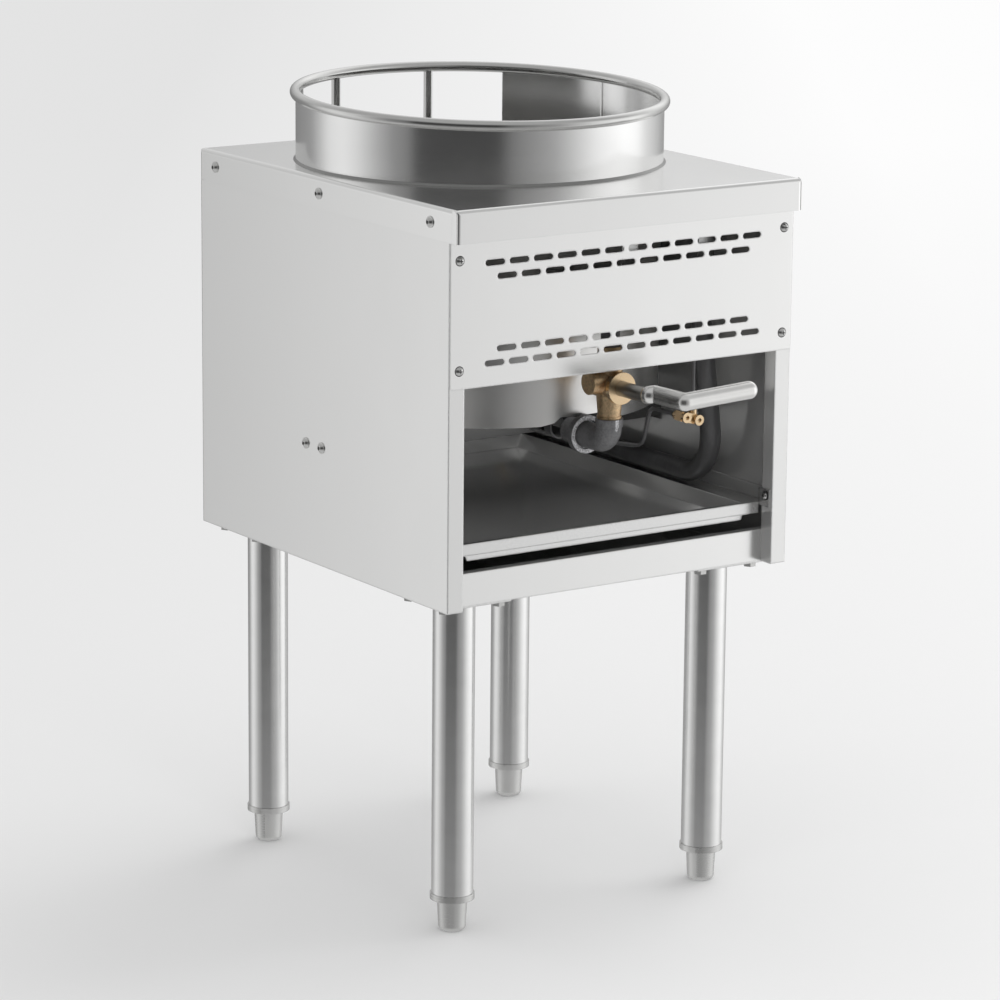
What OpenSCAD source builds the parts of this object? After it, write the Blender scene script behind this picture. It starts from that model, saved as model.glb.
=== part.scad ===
// One-burner gas wok range on four tube legs.
// Lengths are millimetres. The floor is z = 0, +Z is up and the front faces -Y.
// Depths are counted from the front face of the body, and in_place() moves them to the origin,
// which is the middle of the whole object's outline on the floor.

/* [Body] */
// Width over the side panels
body_w = 457; // [450:1:465]
// Depth over the side panels
body_d = 523; // [515:1:530]
// Height of the body's lower edge above the floor
base_z = 385; // [380:1:390]
// Height of the body from its lower edge to the cover's top face
body_h = 441; // [438:1:446]
// Thickness of the sheet steel
sheet = 1.2; // [1:0.1:1.4]
// Width of the front stiles
stile_w = 20; // [18:1:22]
// Depth of the fold behind each stile
stile_return = 19; // [18:1:20]
// Width of the folds at the back
back_fold = 15; // [13:1:17]
// Height of the lower front rail
low_rail_h = 37; // [35:1:39]
// Depth of the lower front rail's upper fold
low_rail_fold = 12; // [10:1:14]
// Height of the upper front rail
top_rail_h = 40; // [38:1:42]
// Height of the lower panel's rear fold
base_panel_fold = 10; // [8:1:12]
// Depth of the upper front rail's top fold
top_rail_fold = 20; // [18:1:22]
// Width of the edge folds of the back panel
back_panel_fold = 12; // [10:1:14]

/* [Cover] */
// Height of the cover's folded edge
cover_edge_h = 36; // [34:1:38]
// Overhang of the cover in front of the body
cover_front = 15; // [13:1:17]
// Outer radius of the cover's folds
cover_bend = 5; // [4:0.5:6]
// Width of the open seam at each corner of the cover
cover_seam = 0.5; // [0.4:0.1:0.6]

/* [Vent panel] */
// Height of the vent panel
vent_h = 159; // [156:1:162]
// Share of the slot spacing that a vent slot's length takes
slot_share = 0.804; // [0.75:0.01:0.83]
// Height of a vent slot
slot_h = 6.5; // [6:0.1:7]
// Distance from the panel's side edge to the first slot
slot_side = 45; // [43:1:47]
// Distance between the two rows of a pair
slot_row_gap = 15.25; // [14.5:0.25:16]
// Distance from the panel's upper and lower edges to the long rows
slot_row_end = 25; // [24.5:0.5:25.5]
// Number of slots in a long row
slot_count = 12; // [11:1:12]

/* [Wok ring] */
// Distance of the ring's centre behind the body's middle
ring_back = 25.5; // [23:0.5:28]
// Distance of the ring band from the body's side
band_side = 19.5; // [18:0.5:21.5]
// Least distance of the ring band from the body's front face
band_front = 78; // [74:1:80]
// Thickness of the ring band
band_t = 2; // [1.8:0.1:2.4]
// Distance of the rim tube's centre line outside the band
rim_out = 0.5; // [0:0.1:1]
// Diameter of the rim tube
rim_d = 12; // [11:0.5:13]
// Height of the rim tube's centre above the cover
rim_h = 73; // [71:1:75]
// Slope of the rim, rising to the rear
rim_tilt = 1.9; // [1.5:0.1:2.2]
// Half of the angle that is cut out of the band at the rear
band_gap_angle = 42.3; // [41:0.1:44]
// Angle of each rear post from the middle of the gap
post_angle = 18; // [17:1:19]
// Diameter of the rear posts
post_d = 10; // [9:0.5:11]
// Size of the weld bead at the foot of the band
bead_size = 2.6; // [2.4:0.1:3]
// Turn of the ring's gap and posts to the left of straight back
ring_turn = 1.4; // [1:0.1:1.8]

/* [Combustion chamber] */
// Distance from the ring band's face to the chamber's wall
chamber_step = 2; // [2:0.5:4]
// Share of the body's height that the chamber takes
chamber_share = 0.611; // [0.608:0.001:0.614]
// Width of the chamber's inner flange, which lies below the cover
chamber_flange = 24; // [22:1:26]
// Height of the notch that lets the burner tube in
notch_h = 9; // [8.5:0.5:10]
// Half of the notch's upper width
notch_half_w = 26; // [25:1:28]
// Width that the notch's flared corners add at its lower edge
notch_flare = 24; // [22:1:26]
// Distance of the chamber studs from the chamber's wall
stud_step = 14; // [13:1:15]
// Number of chamber studs
stud_count = 4; // [4:1:6]
// Diameter of a chamber stud
stud_d = 5; // [4:0.5:5]
// Length of a chamber stud
stud_l = 14; // [12:1:16]
// Width across the corners of a chamber nut
stud_nut_d = 9; // [9:0.5:10]
// Height of a chamber nut
stud_nut_h = 4; // [3.5:0.5:5]

/* [Burner] */
// Distance from the ring's centre to the front edge of the cross bar
bar_front = 47; // [45:1:49]
// Depth of the cross bar
bar_d = 80; // [78:1:82]
// Depth of the burner tube's axis below the chamber's lower edge
mix_drop = 10.5; // [10:0.5:11]
// Height of the burner tube's axis above the cross bar
mix_rise = 16; // [15.5:0.5:17]
// Height of the cross bar's front and rear folds
bar_fold = 18; // [16:1:20]
// Height of the cross bar's end folds
bar_tab = 22; // [20:1:24]
// Thickness of the cross bar
bar_t = 2; // [1.8:0.1:2.2]
// Radius of the burner's foot
burner_foot_r = 30; // [29:1:31]
// Radius of the burner's head
burner_head_r = 75; // [72:1:78]
// Height of the burner over its foot
burner_h = 112; // [108:1:116]
// Thickness of the burner's head at its edge
burner_rim_h = 18; // [16:1:20]
// Height of the straight foot of the burner
burner_foot_h = 42; // [40:1:44]
// Thickness of the burner's wall
burner_wall = 7; // [6:0.5:8]
// Diameter of a burner port
port_d = 4.4; // [4:0.2:5]
// Radius of the inner circle of ports
port_circle_r = 20; // [19:1:21]
// Distance between the circles of ports
port_circle_step = 20; // [19:1:21]
// Outer diameter of the mixing tube
mix_d = 29; // [28:0.5:30]
// Wall of the mixing tube
mix_wall = 2; // [1.8:0.1:2.4]
// Length of an air window in the mixing tube
window_l = 24; // [22:1:26]
// Height of an air window
window_h = 12; // [11:1:13]
// Width across the corners of the brass orifice
orifice_d = 14; // [13:0.5:15]
// Length of the brass orifice
orifice_l = 12; // [11:1:14]

/* [Gas valve and feed] */
// Height of the valve's axis above the burner tube's axis
valve_rise = 63; // [62:0.5:64]
// Distance from the front face to the valve's cap
cap_y = 2; // [1:0.5:3]
// Diameter of the valve's cap
cap_d = 36; // [35:0.5:37]
// Thickness of the valve's cap
cap_t = 6; // [5:0.5:7]
// Diameter of the valve's barrel
barrel_d = 31; // [30:0.5:32]
// Length of the valve's barrel behind the cap
barrel_l = 38; // [37:1:39]
// Distance from the cap to the valve's upright neck
neck_step = 3; // [2:0.5:4]
// Upper diameter of the lower neck
neck_top_d = 30; // [29:0.5:31]
// Lower diameter of the lower neck
neck_low_d = 25; // [24:0.5:26]
// Length of the neck from the valve's axis to its lower end
neck_l = 37; // [36:0.5:38]
// Diameter of the ring at the neck's lower end
neck_ring_d = 27; // [26:0.5:28]
// Height of the ring at the neck's lower end
neck_ring_h = 3; // [2.5:0.1:3.5]
// Diameter of the side plug
lobe_d = 26; // [25:0.5:27]
// Reach of the side plug from the valve's middle
lobe_reach = 29; // [28:0.5:30]
// Height of the side plug above the valve's axis
lobe_rise = 5; // [4:0.5:6]
// Diameter of the upper socket
socket_d = 28; // [27:0.5:29]
// Height of the upper socket's top above the valve's axis
socket_top = 44; // [42:1:46]
// Depth of a threaded joint
thread_depth = 9; // [8:0.5:10]
// Diameter of the feed nipple
nipple_d = 27; // [26.5:0.5:27]
// Diameter of the elbow's body
elbow_d = 29; // [28.5:0.5:30]
// Bend radius of the elbow
elbow_bend = 18; // [17:0.5:19]
// Distance from the valve's neck to the elbow's rear face
elbow_reach = 50; // [49:0.5:51]
// Diameter of the elbow's bead
elbow_bead_d = 43; // [42:0.5:44]
// Width of the elbow's bead
elbow_bead_w = 9; // [8:0.5:10]
// Wall of the cup in the bead's front face
bead_cup_wall = 5; // [4.5:0.5:5.5]
// Depth of the cup in the bead's front face
bead_cup_depth = 4; // [3:0.5:5]
// Diameter of the spigots and riser pipe
riser_d = 21.3; // [21:0.1:21.6]
// Gap between the elbow and the orifice holder
holder_gap = 2; // [1.5:0.5:3]
// Diameter of the orifice holder
holder_d = 29.5; // [29:0.5:30]
// Open air gap between the orifice holder and the mixing tube
air_gap = 20; // [18:1:22]
// Height of the manifold's axis above the valve's axis
manifold_rise = 96; // [94:1:98]
// Diameter of the manifold pipe
manifold_d = 26.7; // [26:0.1:27]
// Distance from the middle to the manifold's closed end
manifold_left = 42; // [40:1:44]
// Width of the manifold's bosses beyond their pipes
boss_wall = 3.5; // [3:0.5:4]
// Width of a manifold hanger
hanger_w = 22; // [20:1:24]
// Thickness of a manifold hanger
hanger_t = 3; // [2.5:0.5:3.5]
// Distance of the left hanger from the middle
hanger_left = 24; // [23:1:26]
// Distance of the right hanger from the supply tube's top
hanger_inset = 44.5; // [43:0.5:46]

/* [Supply tube] */
// Diameter of the supply tube
supply_d = 24; // [23:0.5:25]
// Distance of the supply tube's rear end from the body's side
supply_side = 26.5; // [25.5:0.5:28]
// Gap between the supply tube and the tray below it
supply_gap = 1.5; // [1:0.5:3]
// Distance from the front face to the supply tube's upright run
supply_y = 100; // [98:0.5:102]
// Lean of the upright run towards the middle
supply_lean = 7; // [6.5:0.1:7.2]
// Radius of the supply tube's lower bend
supply_bend = 60; // [58:1:62]
// Radius of the supply tube's upper bend
supply_top_bend = 45; // [43:1:46]
// Diameter of the inlet pipe
inlet_d = 26.7; // [26:0.1:27]
// Reach of the inlet pipe behind the body
inlet_reach = 24; // [22:1:26]
// Width across the corners of the inlet's hexagon
inlet_hex_d = 42; // [40:1:44]
// Thickness of the inlet's hexagons
inlet_hex_t = 8; // [7:0.5:9]

/* [Handle] */
// Diameter of the valve stem
stem_d = 17; // [16.5:0.5:17.5]
// Depth of the stem inside the valve
stem_inside = 20; // [19:1:22]
// Diameter of the stem's end inside the hub
stem_tip_d = 12; // [11:0.5:12.5]
// Distance from the hub's middle back to the stem's shoulder
stem_step = 4; // [3.5:0.5:4.5]
// Distance from the front face to the hub's middle
hub_y = 49; // [48:0.5:50]
// Diameter of the handle's tube and hub
handle_d = 20; // [19.5:0.5:20.5]
// Height of the hub's middle above the valve's axis
handle_lift = 2; // [1.5:0.1:2.2]
// Distance of the handle's arm to the right of the valve's axis
arm_x = 6.6; // [6:0.2:7.2]
// Length of the handle's arm
arm_l = 55.5; // [54:0.5:57]
// Slope of the handle's arm towards its corner
arm_rise = 1; // [0.5:0.1:1.5]
// Length of the grip from the corner's middle to its tip
grip_l = 85.5; // [84:0.5:87]
// Rise of the grip towards its tip
grip_rise = 2.8; // [2:0.1:3.5]

/* [Pilot] */
// Height of the valve's axis above the left adjusting screw
pilot_drop = 44.5; // [44:0.5:45.5]
// Distance of the right adjusting screw from the body's side
pilot_inset = 116.5; // [115:0.5:118]
// Distance between the two adjusting screws
pilot_pitch = 17.5; // [17:0.5:18]
// Tilt of the pilot valve down to the right
pilot_tilt = 15; // [13:0.5:17]
// Distance from the front face to the pilot valve
pilot_y = 14; // [13:0.5:15]
// Depth of the pilot valve's body
pilot_d = 12; // [11:0.5:13]
// Height of the pilot valve's body
pilot_h = 11; // [10:0.5:12]
// Width of the pilot valve's body beyond its screws
pilot_side = 5.5; // [5:0.5:6]
// Diameter of a pilot screw's head
pilot_head_d = 12; // [11.5:0.5:12.5]
// Height of a pilot screw's head
pilot_head_h = 4; // [3.5:0.5:4.5]
// Depth of the cup in a pilot screw's head
pilot_cup_depth = 2; // [1.5:0.5:2.5]
// Diameter of a pilot screw's shank
pilot_shank_d = 5; // [4.5:0.5:5.5]
// Length of a pilot screw's shank
pilot_shank_l = 7; // [6:0.5:8]
// Diameter of the pilot tubes
pilot_tube_d = 5; // [4.8:0.1:5.2]
// Distance from the front face to the pilot tube's turn
pilot_turn_y = 80; // [78:1:82]
// Length over which the pilot tube turns down
pilot_turn_l = 14; // [12:1:16]
// Depth of the pilot tube's long run below the pilot valve
pilot_run_drop = 47.5; // [46:0.5:48]
// Radius of the pilot tube's bends
pilot_bend = 10; // [8:1:11]
// Distance of the pilot burner to the right of the middle
pilot_burner_x = 38; // [37:1:40]
// Distance from the ring's centre forward to the pilot burner
pilot_burner_front = 84; // [83:1:86]
// Diameter of the pilot burner
pilot_burner_d = 12; // [11:0.5:13]
// Height of the pilot burner
pilot_burner_h = 34; // [32:1:36]

/* [Drip tray] */
// Distance from the front face to the tray's lip
tray_y = 22; // [21.5:0.5:23]
// Distance from the tray's rear end to the back of the body
tray_back = 45; // [43:1:47]
// Distance from the tray's rim to the side panel
tray_side = 20.3; // [20:0.1:21]
// Width that the tray's sloping sides take
tray_slope = 8; // [6:1:10]
// Width of the tray's side rims
tray_rim = 13.5; // [13:0.5:14]
// Height of the tray's rim above the body's lower edge
tray_rise = 66.5; // [66:0.5:67]
// Depth of the tray's pan below its rim
tray_depth = 18; // [17:0.5:18.5]
// Height of the tray's front lip
tray_lip_h = 13; // [12:0.5:14]
// Rise of the lip above the rim
tray_lip_rise = 2; // [1.5:0.5:2.5]
// Depth of the lip from front to back
tray_lip_d = 5; // [4:0.5:6]
// Height of the runners' upright leg
runner_h = 17; // [16:0.5:18]
// Width of the runner below the tray's rim
runner_lap = 7; // [6:0.5:8]
// Distance from the front face to the runners' front end
runner_y = 25; // [24.5:0.5:26]
// Share of the gap below the supply tube that the runners' rear stops take
stop_share = 0.35; // [0.3:0.05:0.5]

/* [Legs] */
// Diameter of the leg tubes
leg_d = 47; // [46:0.5:48]
// Wall of the leg tubes
leg_wall = 1.5; // [1.4:0.1:2]
// Distance from the front face to the front legs
leg_front_y = 72; // [71:0.5:74]
// Distance from the back of the body to the rear legs
leg_rear_inset = 53; // [52:0.5:55]
// Height of the foot below the collar
foot_h = 36.4; // [35:0.1:38]
// Diameter of the foot at its top
foot_top_d = 34; // [33:0.5:35]
// Diameter of the foot near the floor
foot_low_d = 31; // [30:0.5:32]
// Radius of the foot's lower edge
foot_round = 5; // [4.5:0.5:5.5]
// Diameter of the foot's threaded stem
foot_stem_d = 12; // [12:0.5:13]
// Length of the foot's threaded stem
foot_stem_l = 42; // [40:1:44]
// Diameter of the collar
collar_d = 50; // [49.5:0.5:51]
// Height of the collar
collar_h = 6.8; // [6.4:0.1:7.2]
// Depth of the collar's plug in the leg
plug_l = 36; // [34:1:38]
// Size of the square leg plate
plate_w = 90; // [88:1:92]
// Thickness of the leg plate
plate_t = 4; // [3.5:0.5:4.5]
// Spacing of the leg bolts
bolt_pitch = 70; // [68:1:71]
// Width of the base channels
channel_w = 110; // [106:1:112]
// Height of the base channels' edges
channel_h = 25; // [23:1:27]
// Thickness of the base channels
channel_t = 2; // [1.8:0.1:2.2]
// Diameter of a leg bolt
bolt_d = 8; // [7.5:0.5:8]
// Width across the corners of the leg bolts and nuts
bolt_hex_d = 15; // [14.5:0.5:15]
// Height of the leg bolts' heads
bolt_head_h = 5.3; // [5:0.1:5.5]
// Height of the leg nuts
bolt_nut_h = 6.5; // [6:0.5:7]

/* [Screws] */
// Diameter of the sheet screws
screw_d = 5; // [4.5:0.5:5]
// Length of the sheet screws behind their seat
screw_l = 8; // [7:0.5:9]
// Diameter of the screw heads
screw_head_d = 10; // [9.5:0.5:10.5]
// Height of the screw heads
screw_head_h = 3.4; // [3.2:0.1:3.6]
// Diameter of the washers under the screw heads
washer_d = 13; // [12.5:0.5:13.5]
// Thickness of the washers
washer_t = 1; // [0.8:0.1:1.2]
// Width of the drive recess in the heads
drive_d = 4.6; // [4.2:0.1:5]
// Depth of the drive recess
drive_depth = 1.6; // [1.4:0.1:1.8]
// Width of each arm of a cross recess
cross_arm = 1.1; // [1:0.1:1.2]
// Distance of the cover screws below the cover's top
cover_screw_drop = 18; // [17:0.5:19]
// Distance from the front face to the first cover screw
cover_screw_y = 36; // [35:1:38]
// Distance from the last cover screw to the back of the body
cover_screw_back = 35; // [34:1:37]
// Distance of the cross bar's screws below its top
bar_screw_drop = 9; // [9:0.5:10]
// Distance from the ring's centre to the cross bar's first screw
bar_screw_front = 28.7; // [27:0.1:30]
// Spacing of the cross bar's two screws
bar_screw_pitch = 33; // [32:0.5:34]
// Distance of the vent panel's screws from its side edges
vent_screw_side = 12.5; // [12:0.5:13]
// Distance of the vent panel's screws from its upper and lower edges
vent_screw_end = 20; // [19:0.5:21]
// Distance from the front face to the runner's first screw
runner_screw_y = 37; // [36:0.5:38]
// Height of the runner's screws above its flange
runner_screw_h = 8; // [7.5:0.5:8.5]

/* [Fits] */
// Gap round a turning or sliding pin
fit_gap = 0.05; // [0.03:0.01:0.08]
// Gap between a moving piece and its seat
seat_gap = 0.3; // [0.2:0.05:0.4]
// Gap round a screw in its hole
hole_gap = 0.2; // [0.15:0.05:0.3]

/* [Hidden] */
$fn = 72;

// Overrun of every cut
cut = 1;
// Everything below follows from the sizes above
top_z = base_z + body_h;
half_w = body_w / 2;
wall_x = half_w - sheet;
side_h = body_h - cover_bend;
handle_r = handle_d / 2;
handle_front = hub_y + arm_l * cos(arm_rise) + handle_r;
origin_y = (handle_front - body_d - inlet_reach) / 2;

vent_mid_z = top_z - cover_edge_h - vent_h / 2;
slot_pitch = (body_w - 2 * slot_side) / (slot_count - 1 + slot_share);
slot_l = slot_share * slot_pitch;
slot_row_far = vent_h / 2 - slot_row_end;
cover_x = half_w + sheet;

ring_y = body_d / 2 + ring_back;
band_r = min(half_w - band_side, ring_y - band_front);
gap_azimuth = 90 + ring_turn;
band_start = gap_azimuth + band_gap_angle;
band_sweep = 360 - 2 * band_gap_angle;
rim_r = band_r + rim_out;
rim_z = top_z + rim_h;
rim_tube_r = rim_d / 2;

flange_z = top_z - 2 * sheet;
chamber_r = band_r - chamber_step;
chamber_inner_r = chamber_r - sheet;
opening_r = chamber_inner_r - chamber_flange;
chamber_z = top_z - chamber_share * body_h;
stud_circle_r = chamber_r - stud_step;

mix_z = chamber_z - mix_drop;
bar_z = mix_z - mix_rise;
bar_y = ring_y - bar_front;
burner_front_y = ring_y - burner_foot_r;

valve_z = mix_z + valve_rise;
neck_z = valve_z - neck_l;
manifold_z = valve_z + manifold_rise;
cap_back_y = cap_y + cap_t;
neck_y = cap_back_y + neck_step + neck_top_d / 2;
elbow_back_y = neck_y + elbow_reach;
holder_y = elbow_back_y + holder_gap;
holder_l = orifice_l + thread_depth;
mix_y = holder_y + holder_l + air_gap;
elbow_r = elbow_d / 2;
riser_r = riser_d / 2;
manifold_r = manifold_d / 2;
boss_r = riser_r + boss_wall;

tray_rim_z = base_z + tray_rise;
tray_half_w = wall_x - tray_side;
tray_l = body_d - tray_y - tray_back;
tray_pan_x = tray_half_w - tray_rim;
tray_floor_z = tray_rim_z - tray_depth;
tray_lip_top = tray_rim_z + tray_lip_rise;
runner_inner = tray_half_w - runner_lap;
runner_top_z = tray_rim_z - sheet - seat_gap;
runner_l = tray_l - (runner_y - tray_y) + 2 * sheet;
runner_stop_h = 2 * sheet + seat_gap + stop_share * supply_gap;

supply_r = supply_d / 2;
supply_x = half_w - supply_side;
supply_z = tray_rim_z + supply_gap + supply_r;
supply_rise = (manifold_z - supply_z) / cos(supply_lean);
supply_top_x = supply_x - supply_rise * sin(supply_lean);
hanger_right = supply_top_x - hanger_inset;
hanger_back_y = neck_y + manifold_r + boss_wall;

pilot_z = valve_z - pilot_drop;
pilot_right_x = half_w - pilot_inset;
pilot_left_x = pilot_right_x - pilot_pitch * cos(pilot_tilt);
pilot_right_z = pilot_z - pilot_pitch * sin(pilot_tilt);
pilot_body_w = pilot_pitch + 2 * pilot_side;
pilot_back_y = pilot_y + pilot_d;
pilot_feed_y = pilot_back_y - pilot_tube_d / 2;
pilot_run_z = pilot_z - pilot_run_drop;
pilot_burner_y = ring_y - pilot_burner_front;
pilot_burner_z = bar_z + burner_h - pilot_burner_h;

collar_z = foot_h + seat_gap;
leg_z = collar_z + collar_h;
plate_z = base_z - plate_t;
leg_x = wall_x - channel_w / 2;
leg_rear_y = body_d - leg_rear_inset;
leg_points = [[-leg_x, leg_front_y], [leg_x, leg_front_y], [-leg_x, leg_rear_y], [leg_x, leg_rear_y]];
corner_signs = [[-1, -1], [1, -1], [-1, 1], [1, 1]];

cover_screw_pitch = (body_d - cover_screw_y - cover_screw_back) / 2;
bar_screw_y = ring_y - bar_screw_front;
bar_screw_z = bar_z - bar_screw_drop;
runner_screw_pitch = runner_l - 2 * (runner_screw_y - runner_y);

steel = [0.78, 0.78, 0.77];
bright_steel = [0.85, 0.85, 0.85];
brass_colour = [0.80, 0.62, 0.38];
black_iron = [0.16, 0.16, 0.17];
cast_colour = [0.25, 0.25, 0.26];

// Depth counted from the front face becomes depth in the shared frame
module in_place(x = 0, y = 0, z = 0) {
    translate([x, y + origin_y, z]) children();
}

// A child drawn on the left side, or its mirror image on the right
module on_side(side) {
    if (side < 0) {
        children();
    } else {
        mirror([1, 0, 0]) children();
    }
}

module rod_along_y(d, l) {
    rotate([-90, 0, 0]) cylinder(d = d, h = l);
}

module rod_along_x(d, l) {
    rotate([0, 90, 0]) cylinder(d = d, h = l);
}

// Screw head, washer and shank, seated at z = 0 with the head upwards
module sheet_screw(cross = false, length = screw_l) {
    cap_r = (screw_head_d * screw_head_d / 4 + screw_head_h * screw_head_h) / (2 * screw_head_h);
    washer = cross ? 0 : washer_t;
    translate([0, 0, -length]) cylinder(d = screw_d, h = length + washer);
    if (!cross) {
        cylinder(d = washer_d, h = washer_t);
    }
    translate([0, 0, washer]) difference() {
        rotate_extrude() intersection() {
            translate([0, screw_head_h - cap_r]) circle(cap_r);
            square([screw_head_d / 2, screw_head_h]);
        }
        translate([0, 0, screw_head_h - drive_depth]) if (cross) {
            for (turn = [0, 90]) rotate([0, 0, turn])
                translate([-drive_d / 2, -cross_arm / 2, 0]) cube([drive_d, cross_arm, drive_depth + cut]);
        } else {
            cylinder(d = drive_d, h = drive_depth + cut, $fn = 6);
        }
    }
}

module screw_hole(d = screw_d) {
    translate([0, 0, -screw_l - cut]) cylinder(d = d + 2 * hole_gap, h = 2 * (screw_l + cut));
}

// Places of the screws in the left wall; children point out of the body
module at_cover_screws() {
    for (i = [0 : 2])
        translate([-cover_x, cover_screw_y + i * cover_screw_pitch, top_z - cover_screw_drop])
            rotate([0, -90, 0]) children();
}

module at_bar_screws() {
    for (i = [0 : 1])
        translate([-half_w, bar_screw_y + i * bar_screw_pitch, bar_screw_z])
            rotate([0, -90, 0]) children();
}

// The runner's screws stand on the side panel's inner face, with their heads inside the body
module at_runner_screws() {
    for (i = [0 : 1])
        translate([-wall_x + sheet, runner_screw_y + i * runner_screw_pitch, runner_top_z + runner_screw_h])
            rotate([0, 90, 0]) children();
}

module at_vent_screws() {
    for (sx = [-1, 1], sz = [-1, 1])
        translate([sx * (half_w - vent_screw_side), -sheet, vent_mid_z + sz * (vent_h / 2 - vent_screw_end)])
            rotate([90, 0, 0]) children();
}

module side_panel(side) {
    color(steel) in_place() on_side(side) difference() {
        translate([-half_w, 0, base_z]) linear_extrude(side_h) {
            square([sheet, body_d]);
            square([stile_w, sheet]);
            translate([stile_w - sheet, 0]) square([sheet, stile_return]);
            translate([0, body_d - sheet]) square([back_fold, sheet]);
        }
        // The rear corner is notched below the cover's round corner
        translate([-half_w - cut, body_d - cover_bend, top_z - cover_edge_h - seat_gap])
            cube([cover_bend + cut, cover_bend + cut, cover_edge_h]);
        at_cover_screws() screw_hole();
        at_bar_screws() screw_hole();
        at_vent_screws() screw_hole();
        if (side > 0) {
            translate([-supply_x, body_d - sheet - cut, supply_z])
                rod_along_y(inlet_hex_d + 2 * hole_gap, sheet + 2 * cut);
        }
    }
}

module left_side_panel() {
    side_panel(-1);
}

module right_side_panel() {
    side_panel(1);
}

module back_panel() {
    back_y = body_d - 2 * sheet;
    color(steel) in_place() difference() {
        union() {
            translate([-wall_x, back_y, base_z]) cube([2 * wall_x, sheet, side_h]);
            translate([-wall_x, back_y - back_panel_fold, base_z + side_h - sheet])
                cube([2 * wall_x, back_panel_fold + sheet, sheet]);
        }
        translate([supply_x, back_y - cut, supply_z])
            rod_along_y(inlet_d + 2 * hole_gap, sheet + 2 * cut);
    }
}

// Box with round vertical edges and a round top edge, open to nothing below
module rounded_pan(x, front, back, top, low, r) {
    intersection() {
        translate([0, 0, low - cut]) linear_extrude(top - low + 2 * cut)
            rounded_box(-x, front, 2 * x, back - front, r);
        translate([0, back + cut, 0]) rotate([90, 0, 0]) linear_extrude(back - front + 2 * cut)
            round_topped(-x, low, 2 * x, top - low, r);
        translate([-x - cut, 0, 0]) rotate([90, 0, 90]) linear_extrude(2 * (x + cut))
            round_topped(front, low, back - front, top - low, r);
    }
}

module rounded_box(x, y, w, d, r) {
    translate([x + r, y]) square([w - 2 * r, d]);
    translate([x, y + r]) square([w, d - 2 * r]);
    for (px = [x + r, x + w - r], py = [y + r, y + d - r])
        translate([px, py]) circle(r);
}

module round_topped(x, z, w, h, r) {
    translate([x, z]) square([w, h - r]);
    translate([x + r, z]) square([w - 2 * r, h]);
    for (px = [x + r, x + w - r])
        translate([px, z + h - r]) circle(r);
}

module top_cover() {
    edge_z = top_z - cover_edge_h;
    back_y = body_d + sheet;
    color(steel) in_place() difference() {
        rounded_pan(cover_x, -cover_front, back_y, top_z, edge_z, cover_bend);
        rounded_pan(cover_x - sheet, sheet - cover_front, back_y - sheet, top_z - sheet,
            edge_z - cut, cover_bend - sheet);
        translate([0, ring_y, flange_z]) cylinder(r = opening_r, h = 2 * sheet + cut);
        for (side = [-1, 1]) on_side(side) {
            at_cover_screws() screw_hole();
            translate([-cover_x - cut, cover_bend - cover_front, edge_z - cut])
                cube([sheet + 2 * cut, cover_seam, cover_edge_h - cover_bend + cut]);
        }
    }
}

module vent_slot() {
    end_x = (slot_l - slot_h) / 2;
    translate([-end_x, -slot_h / 2]) square([2 * end_x, slot_h]);
    for (side = [-1, 1]) translate([side * end_x, 0]) circle(d = slot_h);
}

module slot_row(count) {
    for (i = [0 : count - 1])
        translate([(i - (count - 1) / 2) * slot_pitch, 0]) vent_slot();
}

module front_vent_panel() {
    color(bright_steel) in_place() difference() {
        translate([0, 0, vent_mid_z]) rotate([90, 0, 0]) linear_extrude(sheet) difference() {
            square([body_w, vent_h], center = true);
            for (up = [-1, 1]) {
                translate([0, up * slot_row_far]) slot_row(slot_count);
                translate([0, up * (slot_row_far - slot_row_gap)]) slot_row(slot_count - 1);
            }
        }
        at_vent_screws() screw_hole();
    }
}

module upper_front_rail() {
    rail_half_w = half_w - stile_w;
    rail_top = top_z - sheet;
    color(steel) in_place(-rail_half_w, 0, rail_top) {
        translate([0, 0, -top_rail_h]) cube([2 * rail_half_w, sheet, top_rail_h]);
        translate([0, 0, -sheet]) cube([2 * rail_half_w, top_rail_fold, sheet]);
    }
}

module lower_front_rail() {
    color(bright_steel) in_place(-wall_x, stile_return, base_z) {
        cube([2 * wall_x, sheet, low_rail_h]);
        translate([0, 0, low_rail_h - sheet]) cube([2 * wall_x, low_rail_fold, sheet]);
    }
}

// Sheet that closes the body's underside between the two base channels
module base_panel() {
    front = stile_return + sheet;
    panel_l = body_d - 2 * sheet - front;
    panel_half_w = wall_x - channel_w;
    color(steel) in_place(-panel_half_w, front, base_z) {
        cube([2 * panel_half_w, panel_l, sheet]);
        translate([0, panel_l - sheet, 0]) cube([2 * panel_half_w, sheet, base_panel_fold]);
    }
}

module base_channel(side) {
    front = stile_return + sheet;
    length = body_d - 2 * sheet - front;
    color(steel) in_place() on_side(side) difference() {
        union() {
            translate([-wall_x, front, base_z]) cube([channel_w, length, channel_t]);
            for (x = [0, channel_w - channel_t])
                translate([x - wall_x, front, base_z]) cube([channel_t, length, channel_h]);
        }
        at_leg_bolts() screw_hole(bolt_d);
    }
}

module base_channel_left() {
    base_channel(-1);
}

module base_channel_right() {
    base_channel(1);
}

// Places of all leg bolts, on the underside of the leg plates
module at_leg_bolts() {
    for (leg = leg_points, corner = corner_signs)
        translate([leg[0], leg[1], plate_z] + bolt_pitch / 2 * [corner[0], corner[1], 0]) children();
}

module rim_solid() {
    translate([0, ring_y, rim_z]) rotate([rim_tilt, 0, 0])
        rotate_extrude() translate([rim_r, 0]) circle(rim_tube_r);
}

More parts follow.
